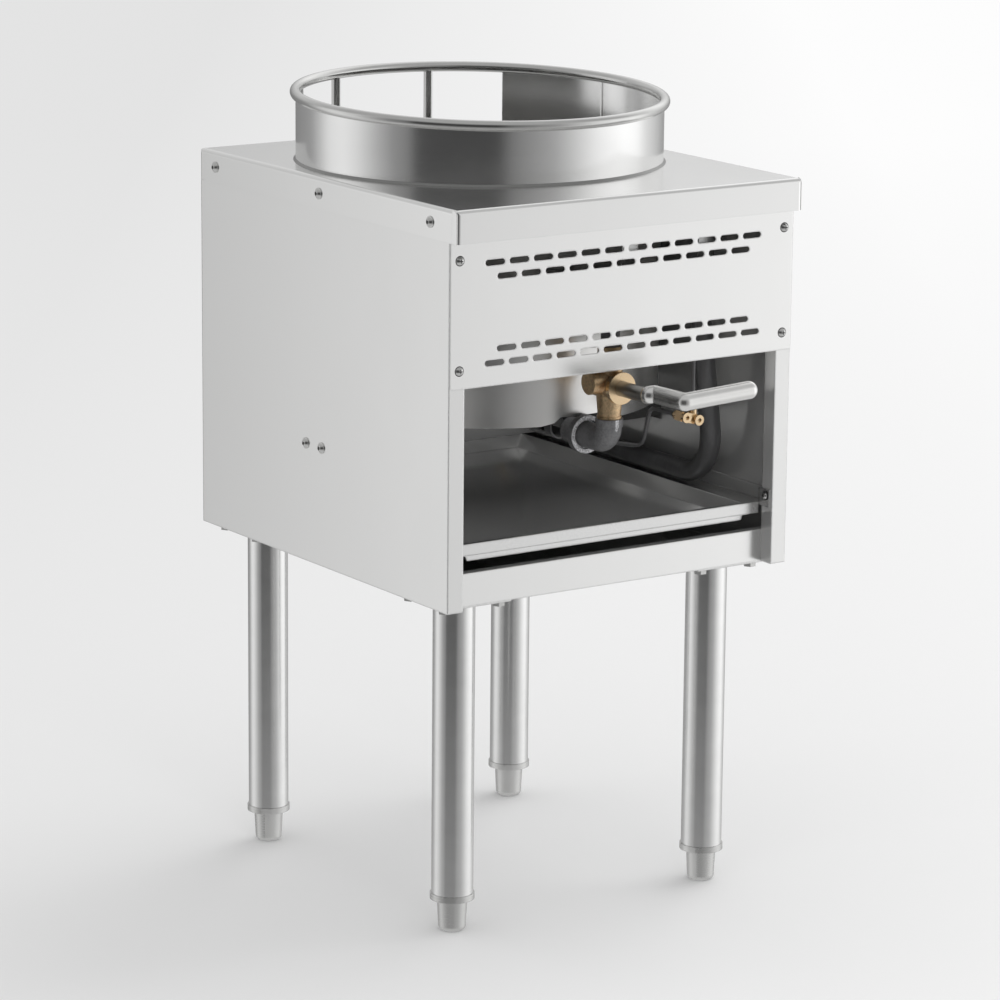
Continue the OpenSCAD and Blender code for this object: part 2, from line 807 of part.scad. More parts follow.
module wok_ring_band() {
    color(steel) in_place() difference() {
        translate([0, ring_y, top_z]) rotate([0, 0, band_start]) rotate_extrude(angle = band_sweep)
            translate([band_r - band_t, 0]) square([band_t, rim_h + 2 * rim_d]);
        translate([0, ring_y, rim_z]) rotate([rim_tilt, 0, 0])
            cylinder(r = rim_r + rim_d, h = 3 * rim_d);
        rim_solid();
    }
}

module wok_ring_rim() {
    color(bright_steel) in_place() rim_solid();
}

module ring_posts() {
    color(steel) in_place() difference() {
        for (side = [-1, 1]) {
            azimuth = gap_azimuth + side * post_angle;
            translate([rim_r * cos(azimuth), ring_y + rim_r * sin(azimuth), top_z])
                cylinder(d = post_d, h = rim_h + rim_r * sin(azimuth) * tan(rim_tilt));
        }
        rim_solid();
    }
}

module ring_weld_bead() {
    color(bright_steel) in_place(0, ring_y, top_z) rotate([0, 0, band_start])
        rotate_extrude(angle = band_sweep) polygon([
            [band_r, 0],
            [band_r + bead_size, 0],
            [band_r, bead_size]
        ]);
}

module at_studs() {
    for (i = [0 : stud_count - 1])
        translate([0, ring_y, flange_z]) rotate([0, 0, (i + 1 / 2) * 360 / stud_count])
            translate([stud_circle_r, 0, 0]) children();
}

// Outline of one half of the flared notch in the chamber's lower edge
function notch_side(side) = [
    [side * (notch_half_w + notch_flare), -cut],
    [side * (notch_half_w + notch_flare), 0],
    [side * (notch_half_w + notch_flare / 3), notch_h / 3],
    [side * notch_half_w, notch_h]
];

module combustion_chamber() {
    wall_h = flange_z + sheet - chamber_z;
    color(steel) in_place() difference() {
        translate([0, ring_y, chamber_z]) cylinder(r = chamber_r, h = wall_h);
        translate([0, ring_y, chamber_z - cut]) cylinder(r = chamber_inner_r, h = wall_h - sheet + cut);
        translate([0, ring_y, chamber_z]) cylinder(r = opening_r, h = wall_h + cut);
        translate([0, ring_y, chamber_z]) rotate([90, 0, 0]) linear_extrude(chamber_r + cut)
            polygon([each notch_side(-1), for (i = [3 : -1 : 0]) notch_side(1)[i]]);
        at_studs() screw_hole(stud_d);
    }
}

module chamber_studs() {
    color(bright_steel) in_place() at_studs() {
        translate([0, 0, sheet - stud_l]) cylinder(d = stud_d, h = stud_l);
        translate([0, 0, -stud_nut_h]) cylinder(d = stud_nut_d, h = stud_nut_h, $fn = 6);
    }
}

module burner_cross_bar() {
    color(steel) in_place() difference() {
        translate([-wall_x, bar_y, bar_z]) {
            translate([0, 0, -bar_t]) cube([2 * wall_x, bar_d, bar_t]);
            for (y = [0, bar_d - bar_t])
                translate([bar_t, y, -bar_fold]) cube([2 * (wall_x - bar_t), bar_t, bar_fold]);
            for (x = [0, 2 * wall_x - bar_t])
                translate([x, 0, -bar_tab]) cube([bar_t, bar_d, bar_tab]);
        }
        for (side = [-1, 1]) on_side(side) at_bar_screws() screw_hole();
    }
}

module burner_head() {
    shoulder_z = burner_h - burner_rim_h;
    inner_foot_r = burner_foot_r - burner_wall;
    inner_head_r = burner_head_r - burner_wall;
    color(cast_colour) in_place() difference() {
        translate([0, ring_y, bar_z]) rotate_extrude() difference() {
            polygon([
                [0, 0],
                [burner_foot_r, 0],
                [burner_foot_r, burner_foot_h],
                [burner_head_r, shoulder_z],
                [burner_head_r, burner_h],
                [0, burner_h]
            ]);
            polygon([
                [0, burner_wall / 2],
                [inner_foot_r, burner_wall / 2],
                [inner_foot_r, burner_foot_h],
                [inner_head_r, shoulder_z],
                [inner_head_r, burner_h - burner_wall],
                [0, burner_h - burner_wall]
            ]);
        }
        translate([0, burner_front_y - cut, mix_z]) rod_along_y(mix_d + 2 * fit_gap, burner_wall + 2 * cut);
        for (ring = [0 : 2], i = [0 : 6 * (ring + 1) - 1])
            translate([0, ring_y, bar_z + burner_h - burner_wall - cut])
                rotate([0, 0, i * 60 / (ring + 1)])
                    translate([port_circle_r + ring * port_circle_step, 0, 0])
                        cylinder(d = port_d, h = burner_wall + 2 * cut);
    }
}

module burner_mixing_tube() {
    tube_l = burner_front_y + burner_wall - mix_y;
    window_y = mix_y + window_l;
    color(black_iron) in_place() difference() {
        translate([0, mix_y, mix_z]) rod_along_y(mix_d, tube_l);
        translate([0, mix_y - cut, mix_z]) rod_along_y(mix_d - 2 * mix_wall, tube_l + 2 * cut);
        translate([-mix_d, window_y - window_l / 2, mix_z - window_h / 2])
            cube([2 * mix_d, window_l, window_h]);
    }
}

module gas_orifice() {
    color(brass_colour) in_place(0, holder_y + orifice_l, mix_z) difference() {
        union() {
            rotate([-90, 0, 0]) cylinder(d = orifice_d, h = thread_depth, $fn = 6);
            translate([0, thread_depth, 0]) rotate([-90, 0, 0])
                cylinder(d1 = orifice_d - 2 * mix_wall, d2 = orifice_d / 2, h = orifice_l);
        }
        translate([0, -cut, 0]) rod_along_y(mix_wall, orifice_l + thread_depth + 2 * cut);
    }
}

module orifice_holder() {
    color(black_iron) in_place() difference() {
        translate([0, holder_y, mix_z]) rod_along_y(holder_d, holder_l);
        translate([0, holder_y - cut, mix_z])
            rod_along_y(nipple_d - mix_wall + 2 * fit_gap, thread_depth + cut);
        translate([0, holder_y + orifice_l, mix_z]) rod_along_y(orifice_d + 2 * fit_gap, holder_l);
        translate([0, holder_y, mix_z]) rod_along_y(orifice_d / 2, holder_l);
    }
}

// The nipple's ends are turned down where they sit in the elbow and in the holder
module feed_nipple() {
    start = elbow_back_y - thread_depth;
    length = holder_y + thread_depth - start;
    end_d = nipple_d - mix_wall;
    color(black_iron) in_place(0, start, mix_z) difference() {
        union() {
            rod_along_y(end_d, length);
            translate([0, thread_depth, 0]) rod_along_y(nipple_d, length - 2 * thread_depth);
        }
        translate([0, -cut, 0]) rod_along_y(nipple_d - 4 * mix_wall, length + 2 * cut);
    }
}

module feed_elbow() {
    bend_z = mix_z + elbow_bend;
    bead_y = elbow_back_y - elbow_bead_w;
    color(black_iron) in_place() difference() {
        union() {
            translate([0, neck_y, bend_z]) cylinder(d = elbow_d, h = neck_z - bend_z);
            translate([0, neck_y, neck_z - thread_depth]) cylinder(d = elbow_d + mix_wall, h = thread_depth);
            translate([0, neck_y + elbow_bend, bend_z]) upright_bend(elbow_bend, elbow_r, 180);
            translate([0, neck_y + elbow_bend, mix_z]) rod_along_y(elbow_d, elbow_reach - elbow_bend);
            difference() {
                translate([0, bead_y, mix_z]) rod_along_y(elbow_bead_d, elbow_bead_w);
                translate([0, bead_y - cut, mix_z])
                    rod_along_y(elbow_bead_d - 2 * bead_cup_wall, bead_cup_depth + cut);
            }
        }
        translate([0, neck_y, neck_z - thread_depth])
            cylinder(d = riser_d + 2 * fit_gap, h = thread_depth + cut);
        translate([0, elbow_back_y - thread_depth, mix_z])
            rod_along_y(nipple_d - mix_wall + 2 * fit_gap, thread_depth + cut);
    }
}

// Quarter of a ring tube in the plane of depth and height; start 0 is +Y and 90 is +Z
module upright_bend(bend, r, start) {
    rotate([90, 0, 90]) rotate([0, 0, start]) rotate_extrude(angle = 90) translate([bend, 0]) circle(r);
}

module gas_valve_body() {
    lobe_z = valve_z + lobe_rise;
    neck_top_z = valve_z - barrel_d / 4;
    socket_z = valve_z + socket_top;
    color(brass_colour) in_place() difference() {
        union() {
            translate([0, cap_back_y, valve_z]) rod_along_y(barrel_d, barrel_l);
            translate([-lobe_reach, neck_y, lobe_z]) rod_along_x(lobe_d, lobe_reach);
            translate([0, neck_y, neck_z]) cylinder(d1 = neck_low_d, d2 = neck_top_d, h = neck_top_z - neck_z);
            translate([0, neck_y, neck_z]) cylinder(d = neck_ring_d, h = neck_ring_h);
            translate([0, neck_y, neck_z - thread_depth]) cylinder(d = riser_d, h = thread_depth);
            translate([0, neck_y, valve_z]) cylinder(d = socket_d, h = socket_top);
        }
        translate([0, cap_back_y - cut, valve_z]) rod_along_y(stem_d + 2 * fit_gap, stem_inside + seat_gap + cut);
        translate([0, neck_y, socket_z - thread_depth])
            cylinder(d = riser_d + 2 * fit_gap, h = thread_depth + cut);
    }
}

module valve_cap() {
    color(brass_colour) in_place(0, cap_y, valve_z) difference() {
        rod_along_y(cap_d, cap_t);
        translate([0, -cut, 0]) rod_along_y(stem_d + 2 * fit_gap, cap_t + 2 * cut);
    }
}

// The stem's shoulder fits round the hub, and its tip sits in the hub
module valve_stem() {
    shoulder_y = stem_step - hub_y;
    color(black_iron) in_place() {
        difference() {
            translate([0, shoulder_y, valve_z]) rod_along_y(stem_d, cap_back_y + stem_inside - shoulder_y);
            translate([0, -hub_y, valve_z + handle_lift]) hub_shape();
        }
        translate([0, -hub_y, valve_z]) rod_along_y(stem_tip_d, hub_y);
    }
}

// Domed tube end that runs to the right, drawn round the middle of its dome
module hub_shape() {
    sphere(r = handle_r);
    rod_along_x(handle_d, arm_x + handle_d);
}

module handle_hub() {
    color(bright_steel) in_place(0, -hub_y, valve_z + handle_lift) difference() {
        hub_shape();
        translate([arm_x, 0, 0]) rotate([-arm_rise, 0, 0]) mitre_block(-1);
        translate([0, -seat_gap, -handle_lift]) rod_along_y(stem_tip_d + 2 * fit_gap, handle_d);
    }
}

module knee_handle() {
    color(bright_steel) in_place(arm_x, -hub_y, valve_z + handle_lift) rotate([-arm_rise, 0, 0]) {
        difference() {
            translate([0, -arm_l, 0]) rod_along_y(handle_d, arm_l + handle_d);
            mitre_block(1);
        }
        translate([0, -arm_l, 0]) rotate([0, -grip_rise, 0]) {
            sphere(r = handle_r);
            rod_along_x(handle_d, grip_l);
            translate([grip_l, 0, 0]) sphere(r = handle_r);
        }
    }
}

// Block on one side of the upright plane that halves the angle between the hub and the arm
module mitre_block(side) {
    reach = 3 * handle_d;
    rotate([0, 0, 45]) translate([-reach, side < 0 ? -reach : 0, -reach]) cube([2 * reach, reach, 2 * reach]);
}

module valve_riser() {
    low = valve_z + socket_top - thread_depth;
    high = manifold_z - manifold_r;
    color(black_iron) in_place(0, neck_y, low) cylinder(d = riser_d, h = high - low);
}

module gas_manifold() {
    boss_h = manifold_r + thread_depth;
    low = manifold_z - boss_h;
    pipe_l = manifold_left + supply_top_x;
    color(black_iron) in_place() difference() {
        union() {
            translate([-manifold_left, neck_y, manifold_z]) rod_along_x(manifold_d, pipe_l);
            translate([-manifold_left, neck_y, manifold_z])
                rod_along_x(manifold_d + 2 * boss_wall, 2 * elbow_bead_w);
            translate([0, neck_y, low]) cylinder(r = boss_r, h = boss_h);
            translate([pilot_right_x, pilot_feed_y, low]) cylinder(r = pilot_tube_d, h = boss_h);
            translate([supply_top_x, neck_y, manifold_z]) sphere(r = manifold_r + boss_wall);
            translate([supply_top_x, neck_y, manifold_z])
                rod_along_y(manifold_d + 2 * boss_wall, 2 * elbow_bead_w);
        }
        translate([0, neck_y, low - cut]) cylinder(d = riser_d + 2 * fit_gap, h = thread_depth + cut);
        translate([pilot_right_x, pilot_feed_y, low - cut])
            cylinder(d = pilot_tube_d + 2 * fit_gap, h = thread_depth + cut);
        translate([supply_top_x, neck_y + 2 * elbow_bead_w - thread_depth, manifold_z])
            rod_along_y(supply_d + 2 * fit_gap, thread_depth + cut);
    }
}

module manifold_hangers() {
    arm_z = top_z - 2 * sheet - hanger_t;
    ring_d = manifold_d + 2 * boss_wall;
    color(steel) in_place() difference() {
        for (x = [hanger_left, hanger_right]) translate([x, 0, 0]) {
            translate([0, sheet, arm_z]) cube([hanger_w, hanger_back_y - sheet, hanger_t]);
            translate([0, hanger_back_y - hanger_t, manifold_z]) cube([hanger_w, hanger_t, arm_z - manifold_z]);
            translate([0, neck_y, manifold_z]) rod_along_x(ring_d, hanger_w);
        }
        translate([0, neck_y, manifold_z]) rod_along_x(manifold_d + 2 * fit_gap, half_w);
    }
}

// The tube lies in one plane, which leans towards the middle as it rises
module supply_tube() {
    end_y = body_d - 2 * sheet - inlet_hex_t;
    start_y = neck_y + 2 * elbow_bead_w - thread_depth;
    straight_h = supply_rise - supply_bend - supply_top_bend;
    color(black_iron) in_place(supply_x, 0, supply_z) rotate([0, -supply_lean, 0]) {
        translate([0, supply_y + supply_bend, 0]) rod_along_y(supply_d, end_y - supply_y - supply_bend);
        translate([0, supply_y + supply_bend, supply_bend]) upright_bend(supply_bend, supply_r, 180);
        translate([0, supply_y, supply_bend]) cylinder(d = supply_d, h = straight_h);
        translate([0, supply_y - supply_top_bend, supply_rise - supply_top_bend])
            upright_bend(supply_top_bend, supply_r, 0);
        translate([0, start_y, supply_rise]) rod_along_y(supply_d, supply_y - supply_top_bend - start_y);
    }
}

module gas_inlet() {
    wall_y = body_d - 2 * sheet;
    color(brass_colour) in_place(supply_x, wall_y, supply_z) difference() {
        union() {
            translate([0, -inlet_hex_t, 0]) rotate([-90, 0, 0])
                cylinder(d = inlet_hex_d, h = inlet_hex_t, $fn = 6);
            rod_along_y(inlet_d, 2 * sheet + inlet_reach);
            translate([0, sheet, 0]) rotate([-90, 0, 0])
                cylinder(d = inlet_hex_d, h = inlet_hex_t / 2, $fn = 6);
        }
        rod_along_y(supply_d - 2 * boss_wall, inlet_reach + cut + 2 * sheet);
    }
}

module pilot_valve_body() {
    color(brass_colour) in_place() difference() {
        union() {
            translate([pilot_left_x, pilot_y, pilot_z]) rotate([0, pilot_tilt, 0])
                translate([-pilot_side, 0, -pilot_h / 2]) cube([pilot_body_w, pilot_d, pilot_h]);
            translate([pilot_right_x, pilot_feed_y, pilot_right_z]) cylinder(r = pilot_tube_d, h = pilot_h);
            translate([pilot_left_x, pilot_y, pilot_z]) rod_along_y(2 * pilot_tube_d, pilot_d + pilot_side);
        }
        at_pilot_screws() rod_along_y(pilot_shank_d + 2 * fit_gap, pilot_shank_l + seat_gap + cut);
        translate([pilot_right_x, pilot_feed_y, pilot_right_z + pilot_h - pilot_tube_d])
            cylinder(d = pilot_tube_d + 2 * fit_gap, h = pilot_tube_d + cut);
    }
}

// Starts of the screw bores, just in front of the pilot valve
module at_pilot_screws() {
    for (place = [[pilot_left_x, pilot_z], [pilot_right_x, pilot_right_z]])
        translate([place[0], pilot_y - cut, place[1]]) children();
}

module pilot_screw(x, z) {
    color(brass_colour) in_place(x, pilot_y - seat_gap, z) rotate([90, 0, 0]) difference() {
        union() {
            cylinder(d = pilot_head_d, h = pilot_head_h);
            translate([0, 0, -pilot_shank_l]) cylinder(d = pilot_shank_d, h = pilot_shank_l);
        }
        translate([0, 0, pilot_head_h - pilot_cup_depth])
            cylinder(d = pilot_shank_d, h = pilot_cup_depth + cut);
        translate([-pilot_shank_d, -cross_arm / 2, pilot_head_h - pilot_cup_depth - drive_depth / 2])
            cube([2 * pilot_shank_d, cross_arm, drive_depth + cut]);
    }
}

module pilot_screw_left() {
    pilot_screw(pilot_left_x, pilot_z);
}

module pilot_screw_right() {
    pilot_screw(pilot_right_x, pilot_right_z);
}

module pilot_feed_tube() {
    low = pilot_right_z + pilot_h - pilot_tube_d;
    high = manifold_z - manifold_r;
    color(black_iron) in_place(pilot_right_x, pilot_feed_y, low) cylinder(d = pilot_tube_d, h = high - low);
}

// Corners of the pilot tube: back from the pilot valve, down, under the chamber and up beside the burner
pilot_corners = [
    [pilot_left_x, pilot_back_y + pilot_side, pilot_z],
    [pilot_left_x, pilot_turn_y, pilot_z],
    [pilot_left_x, pilot_turn_y + pilot_turn_l, pilot_run_z],
    [pilot_burner_x, pilot_burner_y, pilot_run_z],
    [pilot_burner_x, pilot_burner_y, pilot_burner_z]
];

// The first and last corner as they are, with the others rounded
function rounded_route(points, r) = [
    points[0],
    for (i = [1 : len(points) - 2])
        let (before = points[i] + r * unit(points[i - 1] - points[i]),
             after = points[i] + r * unit(points[i + 1] - points[i]))
        for (t = [0 : 1 / 3 : 1])
            (1 - t) * (1 - t) * before + 2 * t * (1 - t) * points[i] + t * t * after,
    points[len(points) - 1]
];

function unit(v) = v / norm(v);
function route_direction(points, i) =
    unit(points[min(i + 1, len(points) - 1)] - points[max(i - 1, 0)]);

// Tube along a list of points, as one closed surface
module swept_tube(points, r, sides) {
    rings = [
        for (i = [0 : len(points) - 1])
            let (ahead = route_direction(points, i),
                 across = unit(cross(ahead, [0.3, 0.2, 1] + 2 * abs(ahead[2]) * [1, 0, 0])),
                 upward = cross(across, ahead))
            [for (k = [0 : sides - 1])
                points[i] + r * (cos(k * 360 / sides) * across + sin(k * 360 / sides) * upward)]
    ];
    last = len(points) - 1;
    polyhedron(
        points = [for (ring = rings) each ring],
        faces = [
            [for (k = [0 : sides - 1]) k],
            for (i = [0 : last - 1], k = [0 : sides - 1])
                [i * sides + k, (i + 1) * sides + k, (i + 1) * sides + (k + 1) % sides,
                 i * sides + (k + 1) % sides],
            [for (k = [sides - 1 : -1 : 0]) last * sides + k]
        ]
    );
}

module pilot_tube() {
    color(black_iron) in_place() swept_tube(rounded_route(pilot_corners, pilot_bend), pilot_tube_d / 2, 8);
}

module pilot_burner() {
    color(bright_steel) in_place(pilot_burner_x, pilot_burner_y, pilot_burner_z) difference() {
        union() {
            cylinder(d = pilot_burner_d, h = pilot_burner_h / 3, $fn = 6);
            cylinder(d = 2 * pilot_tube_d, h = pilot_burner_h);
        }
        translate([0, 0, pilot_burner_h / 2]) cylinder(d = pilot_tube_d, h = pilot_burner_h);
        translate([-pilot_burner_d, -cross_arm, pilot_burner_h - pilot_tube_d])
            cube([2 * pilot_burner_d, 2 * cross_arm, pilot_burner_h]);
    }
}

// Prism along the depth whose sides slope out from the tray's floor
module sloping_box(half_w, depth, length) {
    translate([0, length, 0]) rotate([90, 0, 0]) linear_extrude(length) polygon([
        [tray_slope - half_w, 0],
        [half_w - tray_slope, 0],
        [half_w, depth],
        [-half_w, depth]
    ]);
}

module drip_tray() {
    pan_y = tray_y + tray_lip_d;
    pan_l = tray_l - tray_lip_d;
    color(steel) in_place() {
        difference() {
            translate([0, pan_y, tray_floor_z]) sloping_box(tray_pan_x, tray_depth, pan_l);
            translate([0, pan_y + sheet, tray_floor_z + sheet])
                sloping_box(tray_pan_x - sheet, tray_depth, pan_l - 2 * sheet);
        }
        for (side = [-1, 1]) on_side(side)
            translate([-tray_half_w, pan_y, tray_rim_z - sheet]) cube([tray_rim + sheet / 2, pan_l, sheet]);
        translate([-tray_half_w, tray_y, tray_lip_top - sheet])
            cube([2 * tray_half_w, tray_lip_d + sheet, sheet]);
        translate([-tray_half_w, tray_y, tray_lip_top - tray_lip_h])
            cube([2 * tray_half_w, sheet, tray_lip_h]);
        translate([-tray_half_w, pan_y, tray_rim_z - sheet])
            cube([2 * tray_half_w, sheet, tray_lip_rise + sheet]);
    }
}

module tray_runner(side) {
    flange_w = wall_x - runner_inner;
    color(steel) in_place() on_side(side) difference() {
        translate([-wall_x, runner_y, runner_top_z]) {
            translate([0, 0, -sheet]) cube([sheet, runner_l, runner_h]);
            translate([0, 0, -sheet]) cube([flange_w, runner_l, sheet]);
            translate([0, runner_l - sheet, -sheet]) cube([flange_w, sheet, runner_stop_h]);
        }
        at_runner_screws() screw_hole();
    }
}

module tray_runner_left() {
    tray_runner(-1);
}

module tray_runner_right() {
    tray_runner(1);
}

module leg(point) {
    color(bright_steel) in_place(point[0], point[1], leg_z) difference() {
        cylinder(d = leg_d, h = plate_z - leg_z);
        translate([0, 0, -cut]) cylinder(d = leg_d - 2 * leg_wall, h = plate_z - leg_z + 2 * cut);
    }
}

module leg_front_left() {
    leg(leg_points[0]);
}

module leg_front_right() {
    leg(leg_points[1]);
}

module leg_rear_left() {
    leg(leg_points[2]);
}

module leg_rear_right() {
    leg(leg_points[3]);
}

module leg_plates() {
    color(steel) in_place() difference() {
        for (leg = leg_points)
            translate([leg[0] - plate_w / 2, leg[1] - plate_w / 2, plate_z]) cube([plate_w, plate_w, plate_t]);
        at_leg_bolts() screw_hole(bolt_d);
    }
}

// The collar's plug fills the end of the tube, and the foot's thread runs in it
module leg_collars() {
    color(bright_steel) in_place() for (leg = leg_points)
        translate([leg[0], leg[1], collar_z]) difference() {
            union() {
                cylinder(d = collar_d, h = collar_h);
                cylinder(d = leg_d - 2 * leg_wall - 2 * fit_gap, h = collar_h + plug_l);
            }
            translate([0, 0, -cut])
                cylinder(d = foot_stem_d + 2 * fit_gap, h = collar_h + plug_l + 2 * cut);
        }
}

module foot(point) {
    low_r = foot_low_d / 2;
    color(bright_steel) in_place(point[0], point[1]) {
        rotate_extrude() polygon([
            [0, 0],
            for (a = [0 : 18 : 90]) [low_r - foot_round + foot_round * sin(a), foot_round * (1 - cos(a))],
            [foot_top_d / 2, foot_h],
            [0, foot_h]
        ]);
        cylinder(d = foot_stem_d, h = foot_h + foot_stem_l);
    }
}

module foot_front_left() {
    foot(leg_points[0]);
}

module foot_front_right() {
    foot(leg_points[1]);
}

module foot_rear_left() {
    foot(leg_points[2]);
}

module foot_rear_right() {
    foot(leg_points[3]);
}

module leg_bolts() {
    shank_l = plate_t + channel_t + bolt_nut_h + bolt_d / 4;
    color(bright_steel) in_place() at_leg_bolts() {
        translate([0, 0, -bolt_head_h]) cylinder(d = bolt_hex_d, h = bolt_head_h, $fn = 6);
        cylinder(d = bolt_d, h = shank_l);
    }
}

module leg_nuts() {
    color(bright_steel) in_place() at_leg_bolts() translate([0, 0, plate_t + channel_t]) difference() {
        cylinder(d = bolt_hex_d, h = bolt_nut_h, $fn = 6);
        translate([0, 0, -cut]) cylinder(d = bolt_d + 2 * fit_gap, h = bolt_nut_h + 2 * cut);
    }
}

// Screws of the cover, the cross bar and the tray runners
module panel_screws() {
    color(bright_steel) in_place() for (side = [-1, 1]) on_side(side) {
        at_cover_screws() sheet_screw();
        at_bar_screws() sheet_screw();
        at_runner_screws() sheet_screw(length = sheet);
    }
}

module vent_panel_screws() {
    color(bright_steel) in_place() at_vent_screws() sheet_screw(cross = true);
}

left_side_panel();
right_side_panel();
back_panel();
top_cover();
front_vent_panel();
upper_front_rail();
lower_front_rail();
base_panel();
base_channel_left();
base_channel_right();
wok_ring_band();
wok_ring_rim();
ring_posts();
ring_weld_bead();
combustion_chamber();
chamber_studs();
burner_cross_bar();
burner_head();
burner_mixing_tube();
gas_orifice();
orifice_holder();
feed_nipple();
feed_elbow();
gas_valve_body();
valve_cap();
valve_stem();
handle_hub();
knee_handle();
valve_riser();
gas_manifold();
manifold_hangers();
supply_tube();
gas_inlet();
pilot_valve_body();
pilot_screw_left();
pilot_screw_right();
pilot_feed_tube();
pilot_tube();
pilot_burner();
drip_tray();
tray_runner_left();
tray_runner_right();
leg_front_left();
leg_front_right();
leg_rear_left();
leg_rear_right();
leg_plates();
leg_collars();
foot_front_left();
foot_front_right();
foot_rear_left();
foot_rear_right();
leg_bolts();
leg_nuts();
panel_screws();
vent_panel_screws();
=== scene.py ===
"""Finishes, small details, studio and camera for the one-burner wok range.

Every length is in metres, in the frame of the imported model: +Z up, the front faces -Y.
"""
import math

import bmesh
import bpy
from mathutils import Matrix, Vector


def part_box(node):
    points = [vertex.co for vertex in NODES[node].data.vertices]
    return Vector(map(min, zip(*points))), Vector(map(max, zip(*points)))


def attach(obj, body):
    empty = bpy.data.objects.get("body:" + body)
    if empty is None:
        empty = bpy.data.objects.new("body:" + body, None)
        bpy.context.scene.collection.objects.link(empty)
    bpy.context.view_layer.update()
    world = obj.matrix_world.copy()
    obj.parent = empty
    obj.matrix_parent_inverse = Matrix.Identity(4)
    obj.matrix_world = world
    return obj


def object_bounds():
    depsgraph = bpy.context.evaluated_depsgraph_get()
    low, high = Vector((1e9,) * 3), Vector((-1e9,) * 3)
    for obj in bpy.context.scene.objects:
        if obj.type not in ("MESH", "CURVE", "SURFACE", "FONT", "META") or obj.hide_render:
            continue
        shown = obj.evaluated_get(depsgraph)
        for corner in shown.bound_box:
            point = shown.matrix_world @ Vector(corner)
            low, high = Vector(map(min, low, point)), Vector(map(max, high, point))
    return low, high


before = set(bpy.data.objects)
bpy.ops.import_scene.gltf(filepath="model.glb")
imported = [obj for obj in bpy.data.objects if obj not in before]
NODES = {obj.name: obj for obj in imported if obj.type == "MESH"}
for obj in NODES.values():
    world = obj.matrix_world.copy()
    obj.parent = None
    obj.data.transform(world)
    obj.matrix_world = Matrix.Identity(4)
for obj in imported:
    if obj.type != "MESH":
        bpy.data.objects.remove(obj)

CAD_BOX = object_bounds()

# Camera, placed so that the edges of the body fall where the photograph has them
CAMERA_PLACE = Vector((-2.6889, -3.9626, 1.5426))
CAMERA_YAW = math.radians(34.006)
CAMERA_PITCH = math.radians(12.943)
CAMERA_ROLL = math.radians(0.527)
CAMERA_LENS = 154.755
SENSOR_WIDTH = 36
CAMERA_REACH = 100

# Light of the plain surroundings on matt surfaces
WORLD_LEVEL = 0.83
# Soft sun from a window on the right, and a soft lamp in front that lights the inside of the body
WINDOW_LEVEL = 0.72
WINDOW_DIRECTION = (-0.75, -0.15, -0.75)
WINDOW_ANGLE = 50
FILL_PLACE = (-1.0, -3.0, 0.9)
FILL_AIM = (0, 0, 0.5)
FILL_SIZE = (1.6, 1.2)
FILL_WATTS = 14

# Round wall that only reflections see: angle in degrees, from 0 on the camera's side to the right,
# and brightness
WALL_RADIUS = 4.0
WALL_MIDDLE_HEIGHT = 0.5
WALL_PANELS = (
    (-180, 0.45), (-163, 0.24), (-140, 0.30), (-126, 0.34), (-115, 0.58), (-106, 0.86), (-92, 0.95),
    (-79, 0.78), (-65, 0.48), (-53, 0.29), (-44, 0.25), (-39, 0.075), (12, 0.065), (19, 0.21),
    (46, 0.40), (56, 0.58), (65, 0.76), (76, 0.98), (87, 1.12), (99, 1.25), (113, 1.20),
    (124, 0.85), (138, 0.66), (159, 0.36), (180, 0.45),
)
# Brightness of its brightest panel, of its ceiling on the camera's side, of the ceiling's far part to
# the left and to the right, and of its floor
WALL_TOP_LEVEL = 1.25
CEILING_LEVEL = 0.50
REAR_LEFT_LEVEL = 0.70
REAR_RIGHT_LEVEL = 1.20
FLOOR_LEVEL = 0.62
# In shares of its radius: heights between which the panels pass into the ceiling and into the floor,
# how much lower the ceiling starts on the far side and the depths between which it comes down, and
# the widths and depths between which the ceiling's brightness changes
CEILING_RISE = (0.38, 0.72)
FLOOR_RISE = (-0.65, -0.24)
CEILING_DROP = 0.30
CEILING_DROP_DEPTH = (-0.4, 0.6)
REAR_WIDTH = (-0.3, 0.3)
REAR_DEPTH = (0.2, 0.8)

# Pale paper on the floor with painted light, lighter to the right and away from the camera: its width,
# the distances over which the painted light grows, and its shades at the left and the right end
PAPER_SIZE = 60
PAPER_ACROSS = (-0.9, 0.9)
PAPER_AWAY = (0.5, 6.0)
PAPER_NEAR = (0.81, 0.91)
PAPER_FAR = (0.78, 0.99)

# Colours that more than one material has
SHEET_COLOUR = (0.90, 0.90, 0.893)
PLAIN_COLOUR = (0.66, 0.66, 0.65)
# Brush lines that run level round a piece, in cells per metre along X, Y and Z
LEVEL_GRAIN = (6.0, 6.0, 1500.0)

# Radius of the soft edge of sheet metal, of turned and cast pieces and of screws
EDGE_RADIUS = 0.0009
TURNED_EDGE = 0.0006
CAST_EDGE = 0.0015
SCREW_EDGE = 0.0002
# Outer radius of the folds in the side panels and the front sheets
FOLD_RADIUS = 0.0026
# Share of bare metal on the inner faces; the rest is a dull grey film
INNER_METAL_SHARE = 0.70
# Azimuth of the welded seams in degrees from +X, and the distances over which a seam fades out
RING_SEAM = 13
CHAMBER_SEAM = 100
SEAM_FADE = (0.0008, 0.0022)

# Panel screws longer than this have their head outside; the shorter ones hold the tray runners inside
SCREW_OUTER_LENGTH = 0.008
# Screw heads, their drive recess, and the painted shadow line round them
HEAD_RADIUS = 0.005
HEAD_HEIGHT = 0.0034
DRIVE_RADIUS = 0.0022
DRIVE_DEPTH = 0.0005
CROSS_ARM = 0.0011
SHADOW_LINE = 0.0007
DETAIL_THICKNESS = 0.0002
SMALL_GAP = 0.00015
ROUND_SIDES = 24

